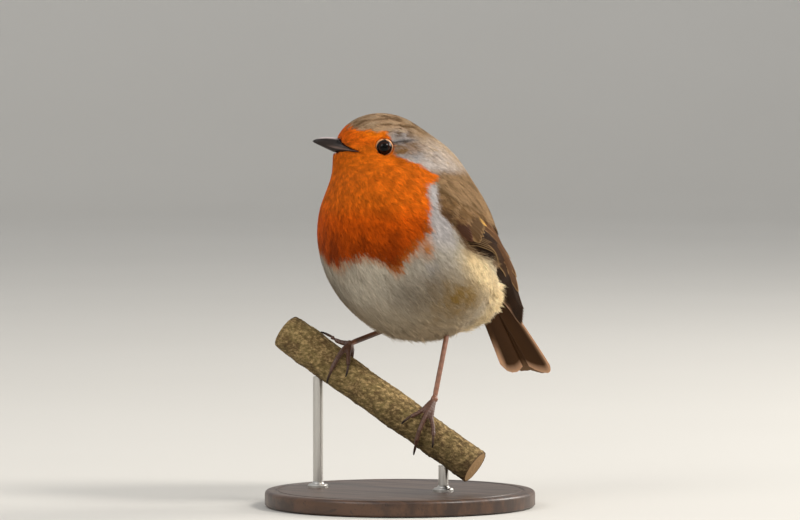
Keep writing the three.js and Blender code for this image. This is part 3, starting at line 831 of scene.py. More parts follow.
class Tufts:
    """Feathers laid on a surface. Each has a shaft along the coat's lie, and barbs that leave it on
    both sides and turn forward, as thin tapering blades."""

    def __init__(self, surface, roots, normals, long, flow):
        self.count = len(roots)
        yaw = rng.normal(0, 0.13, self.count)
        self.long = long * rng.uniform(0.8, 1.15, self.count)
        places, ups, ways = [roots], [normals], []
        for k in range(STATIONS):
            way = flow(places[k], ups[k])
            side = np.cross(ups[k], way)
            way = way * np.cos(yaw)[:, None] + side * np.sin(yaw)[:, None]
            ways.append(way)
            if k < STATIONS - 1:
                step = places[k] + way * (self.long / (STATIONS - 1))[:, None]
                place, up = surface.nearest(step)
                places.append(place)
                ups.append(up)
        self.places = np.stack(places, 1)
        self.ups = np.stack(ups, 1)
        self.ways = np.stack(ways, 1)

    def chosen(self, rows):
        """Only some of the tufts."""
        part = object.__new__(Tufts)
        part.places, part.ups, part.ways = (a[rows] for a in (self.places, self.ups, self.ways))
        part.long = self.long[rows]
        part.count = len(part.places)
        return part

    def at(self, field, t):
        """The field's value at shares t of the way along each shaft; t is (tufts, barbs)."""
        scaled = t * (STATIONS - 1)
        low = np.clip(np.floor(scaled).astype(int), 0, STATIONS - 2)
        rows = np.arange(self.count)[:, None]
        return blend(field[rows, low], field[rows, low + 1], (scaled - low)[..., None])

    def barbs(self, number, width, depth, thickness, dye, lift, tone, loose, spans=(0.26, 0.5)):
        """Corners, triangles, colours, places in the tuft and tuft numbers of the barbs. A barb runs
        from a point at its root through a wider middle to a point at its tip, as two triangles."""
        n = self.count
        shape = (n, number)
        begin = rng.uniform(0.0, 0.72, shape)
        end = np.minimum(begin + rng.uniform(*spans, shape), 1.0 + rng.uniform(-0.05, 0.08, shape))
        hand = np.where(np.arange(number) % 2, 1.0, -1.0)[None, :]
        taper = np.sqrt(np.clip(1.04 - end, 0.02, 1)) * 1.25
        reach = hand * width[:, None] * np.minimum(taper, 1) * rng.uniform(0.1, 1.0, shape)
        high = depth[:, None] * rng.uniform(0.86, 1.06, shape)
        ruffle = rng.normal(0, 1, shape) * loose
        centres, ups, shares, asides = [], [], [], []
        for part, spread in ((0.0, 0.0), (0.45, 0.62), (1.0, 1.0)):  # root, middle and tip
            t = begin + (end - begin) * part
            rise = ease(-0.12, 0.62, t) * high + lift[:, None] * t**2 + ruffle * part
            up = self.at(self.ups, t)
            side = np.cross(up, self.at(self.ways, t))
            aside = reach * spread
            centres.append(self.at(self.places, t) + side * aside[..., None] + up * rise[..., None])
            ups.append(up)
            shares.append(t)
            asides.append(aside / (2 * width[:, None]))
        roll = rng.uniform(-0.2, 0.2, shape)[..., None]
        edge = unit(np.cross(ups[1], unit(centres[2] - centres[0])))
        edge = (edge * np.cos(roll) + ups[1] * np.sin(roll)) * thickness[:, None, None] / 2
        corners = (centres[0], centres[1] - edge, centres[1] + edge, centres[2])
        points = np.stack(corners, 2).reshape(-1, 3)
        steps = ((0, 0), (1, -0.04), (1, 0.04), (2, 0))
        spots = [np.stack([shares[k] - 0.5, asides[k] + d], -1) for k, d in steps]
        first = np.arange(n * number)[:, None] * 4
        faces = np.stack([first + (0, 2, 1), first + (1, 2, 3)], 1).reshape(-1, 3)
        bright = 1 + rng.normal(0, 1, shape) * tone + rng.normal(0, 1, (n, 1)) * (tone * 0.8)
        fade = np.stack([0.86 + 0.14 * shares[k] for k, _ in steps], 2)
        colours = dye[:, None, None, :] * (bright[..., None] * fade)[..., None]
        owner = np.repeat(np.arange(n), number * 4)
        return points, faces, colours.reshape(-1, 3), np.stack(spots, 2).reshape(-1, 2), owner


def unwrap(places, core):
    """Places on the bird laid flat by their direction out from its core, filling a unit square."""
    way = unit(places - core)
    axis = unit(way.mean(0))
    east = unit(np.cross(UP if abs(axis[2]) < 0.9 else CHEEK, axis))
    north = np.cross(axis, east)
    spread = np.sqrt(2 / np.maximum(1 + way @ axis, 1e-3))
    flat = np.stack([way @ east * spread, way @ north * spread], -1)
    low, high = flat.min(0), flat.max(0)
    return 0.02 + 0.96 * (flat - low) / (high - low)


BAKE_PATCH = 0.003  # each tuft's patch on the OFBake map


def coat_piece(name, tufts, parts, core):
    """Joins the barbs of one region into a piece with its OFBake map."""
    home = unwrap(tufts.places[:, 0], core)
    points, faces, colours, spots, owner = parts
    place = home[owner] + np.clip(spots, -0.5, 0.5) * BAKE_PATCH
    make_piece(name, points, faces, PLUMAGE, colours, {"OFBake": place})


REGIONS = (
    "face", "crown", "throat", "breast", "belly_front", "belly_left", "belly_right",
    "side_left", "side_right", "back", "vent",
)


def region_of(p):
    turn, _ = body_turn(p)
    around, z, y = abs(turn), p[:, 2], p[:, 1]
    region = np.full(len(p), "back", dtype="<U12")
    low, high = z < 84, z >= 97
    region[low & (around < 45)] = "belly_front"
    region[low & (around >= 45) & (turn > 0)] = "belly_left"
    region[low & (around >= 45) & (turn <= 0)] = "belly_right"
    region[low & (y > 29)] = "vent"
    region[~low & ~high & (around < 62)] = "breast"
    region[high & (around < 62)] = "throat"
    side = ~low & (z < 108) & (around >= 62) & (y < 18)
    region[side & (turn > 0)] = "side_left"
    region[side & (turn <= 0)] = "side_right"
    head = (z >= 107.5) & (length(p - HEAD_AT) < 21)
    forward, _, _ = head_place(p)
    region[head & (forward < 2)] = "crown"
    region[head & (forward >= 2)] = "face"
    return region


# The bill's horn at the gape: where it begins, and the heights of its upper and lower edges from
# there forward.
GAPE_CORNER = 8.9
GAPE_HIGH = np.array([(GAPE_CORNER, 0.1), (10, 0.85), (11.3, 1.5), (13.2, 2.6), (15.7, 4.6)])
GAPE_LOW = np.array([(GAPE_CORNER, -0.15), (11.3, -0.3), (13.9, -0.2), (16.4, -0.1)])
HAIR = 1e-6  # keeps a hard edge from dividing by zero


def gape_zone(p, soft=0.0):
    """How far each place lies within the sides of the face where the bill's horn shows."""
    forward, left, up = head_place(p)
    inside = np.minimum(up - follow(GAPE_LOW, forward), follow(GAPE_HIGH, forward) - up)
    beside = np.maximum(abs(left) - 1, forward - 14.4) > 0
    ahead = ease(GAPE_CORNER - soft, GAPE_CORNER + soft * 0.4 + HAIR, forward)
    return ease(-soft - HAIR, soft * 0.3, inside) * ahead * beside


def eye_axis(hand):
    return unit(CHEEK * hand + FACE * 0.12)


def clear_of_face_parts(p):
    keep = np.ones(len(p), bool)
    for hand, eye in EYES.items():
        axis = eye_axis(hand)
        offset = p - eye
        aside = length(offset - axis * (offset @ axis)[:, None])
        keep &= ~((aside < EYE_OPENING + LID_REACH) & (offset @ axis > -1))
    return keep & (gape_zone(p) < 0.5)


def both(first, second):
    """Two sets of barbs as one."""
    shift = (0, len(first[0]), 0, 0, 0)
    return tuple(np.concatenate([a, b + add]) for a, b, add in zip(first, second, shift))


def ruffled(p):
    """How much the coat stands up at the rear flank, and in the fringe that laps over the lower edge
    of each wing; little stands up under a wing."""
    rear = near(np.stack([abs(p[:, 0]), p[:, 1], p[:, 2]], -1), (21, 31, 69), (9, 12, 9))
    fringe = np.zeros(len(p))
    for hand in (1, -1):
        s, w, _ = wing_place(p, hand)
        past_edge = w - follow(WINDOW_LOW, s)
        rear = rear * ((past_edge < -0.8) | (p[:, 0] * hand < 0))
        lap = near(np.stack([s, past_edge], -1), (0.5, -1.8), (0.075, 2.4))
        fringe = np.maximum(fringe, lap * (p[:, 0] * hand > 4))
    return rear, fringe


def build_coat_part(name, skin, p, n, small):
    tufts = Tufts(skin, p, n, feather_length(p), lie)
    visible = tufts.places[:, 2] * 0.4 + tufts.places[:, 3] * 0.6
    depth = coat_depth(visible)
    rear, fringe = ruffled(p)
    y, z = p[:, 1], p[:, 2]
    fluffy = 1.5 * ease(68, 58, z) + ease(22, 34, y) * ease(80, 72, z) + rear  # belly and vent
    often = 0.06 + 0.3 * ease(63, 56, z)
    lift = np.where(rng.random(len(p)) < often, rng.uniform(0.1, 0.5, len(p)), 0.0)
    lift = lift * (0.3 + 1.6 * fluffy) * ease(2, 6, tufts.long) + rear * rng.uniform(0.5, 2.2, len(p))
    lift = lift + fringe * rng.uniform(0.8, 3.6, len(p))
    wide = tufts.long * (0.34 if small else 0.29)
    thick = np.clip(0.055 + tufts.long * 0.011, 0.07, 0.14)
    dye = blend(markings(visible), markings(p), ease(0.1, 0.5, fringe)[:, None])
    loose = (0.02 + 0.006 * tufts.long)[:, None]
    parts = tufts.barbs(BARBS[small], wide, depth, thick, dye, lift, 0.12, loose)
    wild = np.flatnonzero(rng.random(len(p)) < WISPY + 0.4 * rear)
    if len(wild):
        some = tufts.chosen(wild)
        stand = rng.uniform(0.1, 0.5, len(wild)) * (0.4 + 1.4 * fluffy[wild]) * ease(1, 6, some.long)
        more = some.barbs(WISPS, wide[wild] * 0.9, depth[wild] + 0.05, thick[wild] * 0.75,
                          dye[wild] * 1.1, stand + lift[wild], 0.16, loose[wild] * 1.6, (0.5, 0.8))
        parts = both(parts, (*more[:4], wild[more[4]]))
    coat_piece(name, tufts, parts, HEAD_AT if small else BODY_CORE)


PIECE_LIMIT = 190000  # triangles
CROWD = 28.3  # tufts to a square millimetre where feathers are 1 mm long, before the limits
FEWEST, MOST = 2.05, 13.2
BARBS = {True: 14, False: 20}  # in each tuft of small feathers, and in each of the others
WISPS, WISPY = 3, 0.22  # looser barbs over a tuft, and the share of tufts that have them


def build_coat(skin):
    crowd = 1.0

    def crowding(p):
        return crowd * np.clip(CROWD / feather_length(p) ** 1.35, FEWEST, MOST)

    roots, normals = skin.scatter(crowding)
    reach = lie(roots, normals) * (feather_length(roots) * 0.6)[:, None]
    keep = clear_of_face_parts(roots) & clear_of_face_parts(roots + reach) & ~bare_of_coat(roots)
    roots, normals = roots[keep], normals[keep]
    region = region_of(roots)
    for name in REGIONS:
        mine = np.flatnonzero(region == name)
        small = name in ("face", "crown")
        shares = math.ceil(len(mine) * (BARBS[small] + WISPS * 0.25) * 2 / PIECE_LIMIT)
        turn = body_turn(roots[mine])[0]
        if name == "back":
            turn = turn % 360
        mine = mine[np.argsort(turn)]
        for share in range(shares):
            rows = mine[len(mine) * share // shares:len(mine) * (share + 1) // shares]
            label = f"coat_{name}" + (f"_{share + 1}" if shares > 1 else "")
            build_coat_part(label, skin, roots[rows], normals[rows], small)


# ---- Vanes: the large feathers of wing and tail -------------------------------------------------
# Where the columns of corners lie across a feather, crowded at its edges and its shaft.
VANE_COLUMNS = np.array([0, 0.05, 0.13, 0.28, 0.46, 0.5, 0.54, 0.72, 0.87, 0.95, 1.0])


class Vanes:
    """Large feathers, each a thin closed blade with a shaft, two webs and a rounded tip."""

    THICK, ROOT_TONE = 0.14, 0.72

    def __init__(self):
        self.points, self.faces, self.colours, self.spots, self.start = [], [], [], [], 0

    def add(self, lay, width, dyes, outer, edge, tip_edge, point, camber, rows=16, stem=0.35,
            narrow=0.35, rim_from=-1.0, turned=False):
        """lay(t, aside) gives places and the way up from them, at shares t along the feather and
        distances aside of its shaft. dyes are the web, the outer edge and the inner edge. `outer` is
        the outer web's share of the width, `edge` and `tip_edge` are the shares that are pale, the
        outer edge from `rim_from` on, `point` and `narrow` shape the tip, and `stem` the root."""
        x = VANE_COLUMNS[None, :] * 2 - 1
        # The tip rounds off: columns near the edges end sooner.
        short = 1 - point * abs(x) ** 2.2 * 2.2 - 0.006 * rng.random((1, x.size))
        t = np.linspace(0, 1, rows)[:, None] * short
        spread = blend(stem, 1, ease(0, 0.4, t)) * (1 - narrow * ease(0.7, 1.06, t))
        aside = np.where(x < 0, outer * x, (1 - outer) * x) * width * spread
        place, up = lay(t, aside)
        place = place - up * (camber * width * x**2 * spread)[..., None]
        shaft = np.exp(-((x / 0.07) ** 2)) * 0.06
        half = self.THICK / 2 * (0.35 + 0.65 * (1 - abs(x))) * np.ones_like(t)
        top = place + up * (shaft + half)[..., None]
        under = place - up * (shaft * 0.6 + half)[..., None]
        grid = np.arange(t.size).reshape(t.shape)
        quads = quads_of(grid)
        ring = np.concatenate([grid[0, :-1], grid[:-1, -1], grid[-1, :0:-1], grid[:0:-1, 0]])
        onward = np.roll(ring, -1)
        wall = np.stack([ring, onward, onward + t.size, ring + t.size], -1)
        faces = np.concatenate([quads[:, ::-1], quads + t.size, wall])
        across = VANE_COLUMNS * np.ones_like(t)
        colour = self.web_colours(dyes, across, t, t / short, edge, tip_edge, rim_from)
        spot = np.stack([t, across], -1).reshape(-1, 2)
        self.points += [top.reshape(-1, 3), under.reshape(-1, 3)]
        self.colours += [colour, colour]
        self.spots += [spot, spot]
        self.faces.append((faces[:, ::-1] if turned else faces) + self.start)
        self.start += 2 * t.size

    def web_colours(self, dyes, across, t, to_tip, edge, tip_edge, rim_from):
        """Pale rims round a web that is darker at its root and along its shaft."""
        web, rim, inner_rim = dyes
        pale = ease(edge * 1.15, edge * 0.35, across) * ease(rim_from, rim_from + 0.25, t)
        pale_tip = ease(1 - tip_edge * 1.6, 1 - tip_edge * 0.4, to_tip)
        pale_in = ease(1 - edge * 0.8, 1 - edge * 0.2, across)
        along_shaft = 1 - 0.22 * np.exp(-(((across * 2 - 1) / 0.1) ** 2))
        tone = blend(self.ROOT_TONE, 1, ease(0, 0.5, t)) * along_shaft
        colour = blend(web * tone[..., None], inner_rim, pale_in[..., None])
        colour = blend(colour, rim, np.maximum(pale, pale_tip * 0.9)[..., None])
        return (colour * rng.uniform(0.93, 1.07)).reshape(-1, 3)

    def joined(self):
        return tuple(np.concatenate(part) for part in (self.points, self.faces, self.colours, self.spots))


def vane_piece(name, vanes, stands_for, hand=1):
    points, faces, colours, spots = vanes.joined()
    if hand < 0:
        points, faces = points * (-1, 1, 1), faces[:, ::-1]
    return make_piece(name, points, faces, VANES, colours, {"vane": spots}, stands_for=stands_for)


# ---- Wings --------------------------------------------------------------------------------------
WING_LINE = np.array([(21, -9, 92.5), (25.2, 5, 89.5), (23, 24, 80), (15.3, 42.2, 68.3), (9.6, 57, 56)])
WING_SIDES = np.array([
    (-0.3, 0.5, 0.85), (-0.5, 0.43, 0.72), (-0.62, 0.4, 0.66), (0, 0.58, 0.76), (0.42, 0.66, 0.62),
])
WING_LENGTH = 79.5


def centripetal(points, s):
    """The smooth line through the points, at shares s of the way along it."""
    ends = np.concatenate([[2 * points[0] - points[1]], points, [2 * points[-1] - points[-2]]])
    s = np.clip(np.asarray(s, float), 0, 1) * (len(points) - 1)
    i = np.minimum(s.astype(int), len(points) - 2)
    w = (s - i)[..., None]
    p0, p1, p2, p3 = (ends[i + k] for k in range(4))
    d0, d1, d2 = (length(b - a)[..., None] ** 0.5 for a, b in ((p0, p1), (p1, p2), (p2, p3)))
    out1 = ((p1 - p0) / d0 - (p2 - p0) / (d0 + d1) + (p2 - p1) / d1) * d1
    out2 = ((p2 - p1) / d1 - (p3 - p1) / (d1 + d2) + (p3 - p2) / d2) * d1
    return p1 + out1 * w + (3 * (p2 - p1) - 2 * out1 - out2) * w**2 + (2 * (p1 - p2) + out1 + out2) * w**3


def wing_frame(s):
    s = np.asarray(s, float)
    centre = centripetal(WING_LINE, s)
    ahead = unit(centripetal(WING_LINE, s + 0.01) - centripetal(WING_LINE, s - 0.01))
    side = centripetal(WING_SIDES, s)
    side = unit(side - ahead * dot(side, ahead)[..., None])
    return centre, ahead, side, np.cross(ahead, side)


class WingSide:
    """The outer face of a wing that its feathers lie on. Places are worked out for the left hand."""

    ALONG = np.linspace(-0.06, 0.9, 55)
    ACROSS = np.linspace(-14, 14, 57)
    REACH = 20

    def __init__(self, draped, hand):
        """The front of the wing lies on the draped body and the rest stands out on its own."""
        s, w = self.ALONG[:, None], self.ACROSS[None, :]
        centre, _, side, out = wing_frame(s)
        base = centre + side * w[..., None]
        flip = np.array([hand, 1, 1])
        # On its own it rises towards the tip, is crowned, and droops at its lower edge.
        plain = 1.7 + 1.4 * ease(0.54, 0.76, s) - 0.012 * w**2
        plain = plain - 0.85 * np.maximum(-3.0 - w, 0) * ease(0.82, 0.68, s)
        height = plain.copy()
        for i in range(s.size):
            inward = Vector(-out[i, 0] * flip)
            for j in range(w.size):
                start = Vector((base[i, j] + out[i, 0] * self.REACH) * flip)
                hit = draped.tree.ray_cast(start, inward, self.REACH * 1.5)
                if hit[0]:
                    height[i, j] = self.REACH - hit[3]
        height = blend(height, plain, ease(0.34, 0.52, s))
        for _ in range(4):
            padded = np.pad(height, 1, mode="edge")
            along = padded[:-2, 1:-1] + padded[2:, 1:-1]
            across = padded[1:-1, :-2] + padded[1:-1, 2:]
            height = (along + across + 4 * height) / 8
        self.height = height

    def rise(self, s, w):
        i, j = (
            np.clip((x - grid[0]) / (grid[1] - grid[0]), 0, grid.size - 1.001)
            for x, grid in ((s, self.ALONG), (w, self.ACROSS))
        )
        a, b = i.astype(int), j.astype(int)
        h = self.height
        low = blend(h[a, b], h[a, b + 1], j - b)
        high = blend(h[a + 1, b], h[a + 1, b + 1], j - b)
        return blend(low, high, i - a)

    def feather(self, vanes, line, width, dyes, lift, outer, dip, **shape):
        """`line` is where the feather's lower edge runs: three pairs of the share along the wing
        and the height across it in millimetres. `dip` is how much deeper its root lies."""
        line = np.array(line)
        if len(line) == 2:
            line = np.array([line[0], line.mean(0), line[1]])

        def lay(t, aside):
            shares = 2 * (t - 0.5) * (t - 1), 4 * t * (1 - t), 2 * t * (t - 0.5)
            s, low = (sum(share * line[k, axis] for k, share in enumerate(shares)) for axis in (0, 1))
            w = low + outer * width + aside
            s = s + 0 * w
            centre, _, side, out = wing_frame(s)
            rise = self.rise(s, w) + lift - dip * np.clip(1 - t / 0.55, 0, 1) ** 2
            return centre + side * w[..., None] + out * rise[..., None], out

        vanes.add(lay, width, dyes, outer, **shape)


# Each group's outer web, pale edges, tip, camber, depth of the roots and rows of corners.
PRIMARY = dict(outer=0.3, tip_edge=0.008, rim_from=0.5, point=0.26, narrow=0.6, camber=0.04, dip=1.3,
               rows=22)
SECONDARY = dict(outer=0.3, edge=0.05, tip_edge=0.01, point=0.09, camber=0.03, dip=0.6, rows=18)
TERTIAL = dict(outer=0.36, tip_edge=0.012, camber=0.05, point=0.12, dip=0.7, rows=22, narrow=0.5)
GREATER_COVERT = dict(outer=0.45, edge=0.2, camber=0.08, rows=14, point=0.13, dip=0.3)
PRIMARY_COVERT = dict(outer=0.4, edge=0.16, tip_edge=0.01, camber=0.07, rows=12, point=0.14, dip=0.2)
MIDDLE_COVERT = dict(outer=0.45, edge=0.22, tip_edge=0.03, camber=0.08, rows=10, point=0.15, dip=0.4)
# The tertials from the lowest up: where the lower edge runs, width, web and pale edge.
TERTIALS = (
    (((0.17, -7.2), (0.44, -6.2), (0.71, -3.6)), 5.4, QUILL_BROWN * 0.8, 0.05),
    (((0.17, -4.6), (0.48, -4.8), (0.77, -2.5)), 6.0, DARK_BROWN * 1.0, 0.07),
    (((0.17, -2.4), (0.44, -2.8), (0.69, -1.6)), 6.2, DARK_BROWN * 1.15, 0.06),
    (((0.17, 0.2), (0.36, -0.6), (0.60, 0.0)), 6.4, DARK_BROWN * 1.3, 0.06),
)


def lay_flight_feathers(wing):
    """Primaries, secondaries and tertials, each set over the last."""
    vanes = Vanes()
    for i in range(7):  # the longest primary is the lowest and has a pale edge
        line = (0.14 + 0.02 * i, -9.9 + 0.9 * i), (0.66, -7.4 + 0.40 * i), (1 - 0.016 * i, -1.8 + 0.22 * i)
        rim, edge = (PINK_BUFF * 1.15, 0.34) if i == 0 else (QUILL_BROWN * 2.0, 0.06)
        dyes = QUILL_BROWN * 0.5, rim, QUILL_BROWN * 0.45
        wing.feather(vanes, line, 4.6, dyes, -1.6 + 0.13 * i, edge=edge, **PRIMARY)
    for i in range(6):
        line = (0.13, -9.4 + 0.45 * i), (0.36, -6.8 + 0.42 * i), (0.575 + 0.012 * i, -3.6 + 0.35 * i)
        dyes = QUILL_BROWN * 0.5, BUFF * 0.62, DARK_BROWN * 0.7
        wing.feather(vanes, line, 5.0, dyes, -1.3 + 0.10 * i, **SECONDARY)
    for i, (line, width, web, edge) in enumerate(TERTIALS):
        dyes = web, BUFF * 0.8, web * 0.9
        wing.feather(vanes, line, width, dyes, -0.85 + 0.2 * i, edge=edge, **TERTIAL)
    return vanes


def lay_wing_coverts(wing):
    """Greater coverts, the last two tipped with gold, the bastard wing and the middle coverts."""
    vanes, greater = Vanes(), 12
    for i in range(greater):
        u = i / (greater - 1)
        root = 0.085 - 0.05 * u, -4.0 + 7.4 * u
        tip = 0.228 + 0.055 * u + 0.008 * math.sin(9 * i), -9.0 + 7.6 * u
        golden = i >= greater - 2
        rim = GOLD * 1.1 if golden else blend(BUFF * 0.5, BUFF * 0.62, u)
        tip_edge, rim_from = (0.12, 0.7) if golden else (0.01, -1)
        wing.feather(vanes, (root, tip), 3.3, (BROWN * 0.44, rim, BROWN * 0.5), -0.5 + 0.03 * i,
                     tip_edge=tip_edge, rim_from=rim_from, **GREATER_COVERT)
    for i in range(7):
        middle_edge, tip = (0.08 - 0.003 * i, -6.0 + 0.75 * i), (0.178 - 0.008 * i, -8.8 + 0.85 * i)
        line = (0.0, -1.4 + 0.5 * i), middle_edge, tip
        dyes = RUST_BROWN * 0.62, RUST_BROWN * 1.15, QUILL_BROWN
        wing.feather(vanes, line, 2.7, dyes, -0.4 + 0.06 * i, **PRIMARY_COVERT)
    for i in range(9):
        u = i / greater
        line = (0.0, -1.4 + 5.4 * u), (0.118 + 0.022 * u + 0.006 * math.sin(7 * i), -3.6 + 6.6 * u)
        dyes = BROWN * 0.55, BROWN * 0.95, BROWN * 0.65
        wing.feather(vanes, line, 2.6, dyes, -0.3, **MIDDLE_COVERT)
    return vanes


def build_wing(name, hand, draped):
    wing = WingSide(draped, hand)
    flight, coverts = lay_flight_feathers(wing), lay_wing_coverts(wing)
    vane_piece(f"{name}_flight_feathers", flight, (f"primaries_{name}",), hand)
    vane_piece(f"{name}_wing_coverts", coverts, (), hand)
    # A smaller copy of the wing's solid closes it behind the feathers.
    points, tris = node_mesh(f"wing_{name}")
    s, w, out = wing_place(points, hand)
    centre, _, side, outward = wing_frame(0.04 + s * 0.72)
    core = (centre + side * (w * 0.55)[:, None] + outward * (out * 0.3 - 1.7)[:, None]) * (hand, 1, 1)
    dye, spots = np.broadcast_to(QUILL_BROWN * 0.5, core.shape), np.full((len(core), 2), 0.3)
    piece = make_piece(f"{name}_wing_core", core, tris, VANES, dye, {"vane": spots},
                       (f"wing_{name}",))
    apply_modifier(piece, "SUBSURF", levels=1, render_levels=1)


# ---- Tail ---------------------------------------------------------------------------------------
TAIL_ROOT, TAIL_TIP = np.array([2.0, 32, 82]), np.array([3.6, 72.2, 40.2])
TAIL_FEATHERS, TAIL_FAN = 12, math.radians(12.5)
TAIL_FEATHER = dict(outer=0.32, tip_edge=0.013, camber=0.05, point=0.03, stem=0.36, narrow=0.02)


def build_tail():
    """Twelve feathers, the middle pair above and each outer one a little below its neighbour."""
    across = np.array([1.0, 0, 0])
    reach = length(TAIL_TIP - TAIL_ROOT) - 4
    along = unit(TAIL_TIP - TAIL_ROOT)
    above = np.cross(across, along)
    vanes = Vanes()
    for i in range(TAIL_FEATHERS):
        place = 2 * i / (TAIL_FEATHERS - 1) - 1
        hand = 1 if place > 0 else -1
        angle = TAIL_FAN / 2 * place
        way = along * math.cos(angle) + across * math.sin(angle)
        drop = -above * (1.5 * abs(place) - 0.2)
        root = TAIL_ROOT + across * (place * 1.3 + 0.4) + along * 4 + drop * 0.6
        uneven = 1.03 - 0.016 * (1 - abs(place)) + 0.009 * math.sin(5.0 * i)
        tip = root + way * reach * uneven + drop * 0.4

        def lay(t, aside):
            curve = 4 * t * (1 - t)
            away = np.cross(above, way) * hand
            line = root + (tip - root) * t[..., None] + above * (0.8 * curve)[..., None]
            return line + away * (aside * (0.7 + 0.65 * t) - 0.4 * curve)[..., None], above

        web = shade(74, 49, 28) if abs(place) > 0.2 else shade(84, 60, 38)
        rim, edge, rim_from = shade(128, 98, 70), 0.07, -1.0
        if abs(place) > 0.95:  # the outermost pair has broad pale edges
            rim = PINK_BUFF * 1.6
            edge, rim_from = (0.3, -1.0) if hand > 0 else (0.4, 0.68)
        vanes.add(lay, 6.6, (web, rim, web * 1.08), edge=edge, rim_from=rim_from, turned=hand < 0,
                  **TAIL_FEATHER)
    vane_piece("tail_feathers", vanes, ("tail",))


# ---- Eyes ---------------------------------------------------------------------------------------
def facing_frame(axis):
    """A turn that takes +Z to the axis, keeping +Y upwards."""
    across = unit(np.cross(UP, axis))
    return np.stack([across, np.cross(axis, across), axis], 1)


CORNEA_RISE = 0.28
# Lids: how far out from the eye's middle, radius, flattening, how proud, dye and number of beads.
EYELIDS = {
    "rim": (EYE_OPENING - 0.02, 0.16, 0.75, 0.05, shade(44, 30, 24), 0),
    "ring": (EYE_OPENING + 0.28, 0.19, 0.8, 0.1, shade(214, 154, 104), 34),
}


def build_eye(name, hand):
    centre, turn = EYES[hand], facing_frame(eye_axis(hand))
    ball = added("uv_sphere", f"eyeball_{name}", segments=64, ring_count=40, radius=EYE_RADIUS * MM)
    p = corners_of(ball)
    p[:, 2] += CORNEA_RISE * ease(0.55, 1.0, p[:, 2] / EYE_RADIUS)
    angle = np.degrees(np.arccos(np.clip(p[:, 2] / (EYE_RADIUS + CORNEA_RISE), -1, 1)))
    iris = blend(shade(6, 5, 5), shade(44, 22, 12), ease(26, 34, angle)[:, None])
    iris = blend(iris, shade(8, 6, 6), ease(40, 47, angle)[:, None])
    move_corners(ball, p @ turn.T + centre)
    smooth(ball)
    paint(ball.data, iris)
    finish_piece(ball, EYE, (f"eye_{name}",))
    for label, (out_from, radius, flat, proud, dye, beads) in EYELIDS.items():
        lid = added("torus", f"eyelid_{label}_{name}", major_segments=136, minor_segments=14,
                    major_radius=out_from * MM, minor_radius=radius * MM)
        p = corners_of(lid)
        around = np.arctan2(p[:, 1], p[:, 0])
        out = np.hypot(p[:, 0], p[:, 1])
        bead = np.sin(beads * around)
        # Lids meet in faint corners before and behind the eye, and lie against the ball.
        corner = 1 + 0.035 * np.cos(2 * around) ** 5 + 0.004 * bead
        p[:, :2] *= corner[:, None]
        seat = np.sqrt(np.maximum(EYE_RADIUS**2 - np.minimum(out, EYE_RADIUS * 0.98) ** 2, 0.05))
        p[:, 2] = p[:, 2] * flat + seat * 0.93 + proud + 0.012 * bead
        move_corners(lid, p @ turn.T + centre)
        smooth(lid)
        paint(lid.data, dye * (1 + 0.04 * bead + 0.12 * cloud(p, 0.7))[:, None])
        finish_piece(lid, LIDS)


# ---- Bill ---------------------------------------------------------------------------------------
# Down the bill from inside the face to the tip: how far forward, the height of its upper edge, of
# the line where it opens and of its lower edge, and its half width there.
BILL_LINES = np.array([
    (9.0, 0.40, 0.15, -0.10, 8.0), (10.0, 0.80, 0.3, -0.2, 7.1), (11.5, 1.75, 0.5, -0.4, 5.5),
    (13.0, 3.0, 0.8, -0.55, 4.0), (14.5, 4.1, 1.05, -0.5, 2.9), (16.5, 4.5, 1.4, 0.0, 2.1),
    (18.5, 4.6, 1.85, 0.95, 1.6), (20.3, 4.4, 2.4, 1.8, 1.15), (21.6, 4.05, 2.8, 2.45, 0.75),
    (22.4, 3.7, 3.05, 2.85, 0.42), (22.85, 3.35, 3.15, 3.05, 0.14),
])
NOSTRIL = np.array([14.9, 3.2])


def bill_surface(upper, rows=64, columns=36):
    """How far forward, left and up the rows and columns of one half of the bill lie, how high they
    lie between the opening and its edge as a share, and how deep in a nostril."""
    forward = np.linspace(BILL_LINES[0, 0], BILL_LINES[-1, 0] - (0 if upper else 0.35), rows)
    top, gape, under, wide = (np.interp(forward, BILL_LINES[:, 0], BILL_LINES[:, k]) for k in range(1, 5))
    angle = np.linspace(0, 2 * np.pi, columns, endpoint=False)
    c, s = np.cos(angle), np.sin(angle)
    far = (top - gape if upper else gape - under)[:, None]
    sign = 1 if upper else -1
    # The rounded outer side, closed by a nearly flat inner face along the opening.
    up = np.where(s > 0, abs(s) ** 0.9 * far, s * 0.10 * far)
    left = np.sign(c) * abs(c) ** (0.8 if upper else 0.85) * wide[:, None] * (1 if upper else 0.95)
    left = left * (1 - 0.12 * ease(0.25, 1.0, s))
    height = gape[:, None] + sign * (up + 0.025)
    slit = np.zeros_like(left)
    forward = forward[:, None] * np.ones_like(left)
    if upper:
        slit = np.exp(-(((forward - NOSTRIL[0]) / 0.75) ** 2) - ((height - NOSTRIL[1]) / 0.28) ** 2)
        left = left * (1 - 0.25 * slit)
    share = (height - gape[:, None]) / (far * sign + 1e-6)
    return forward, left, height, share, slit


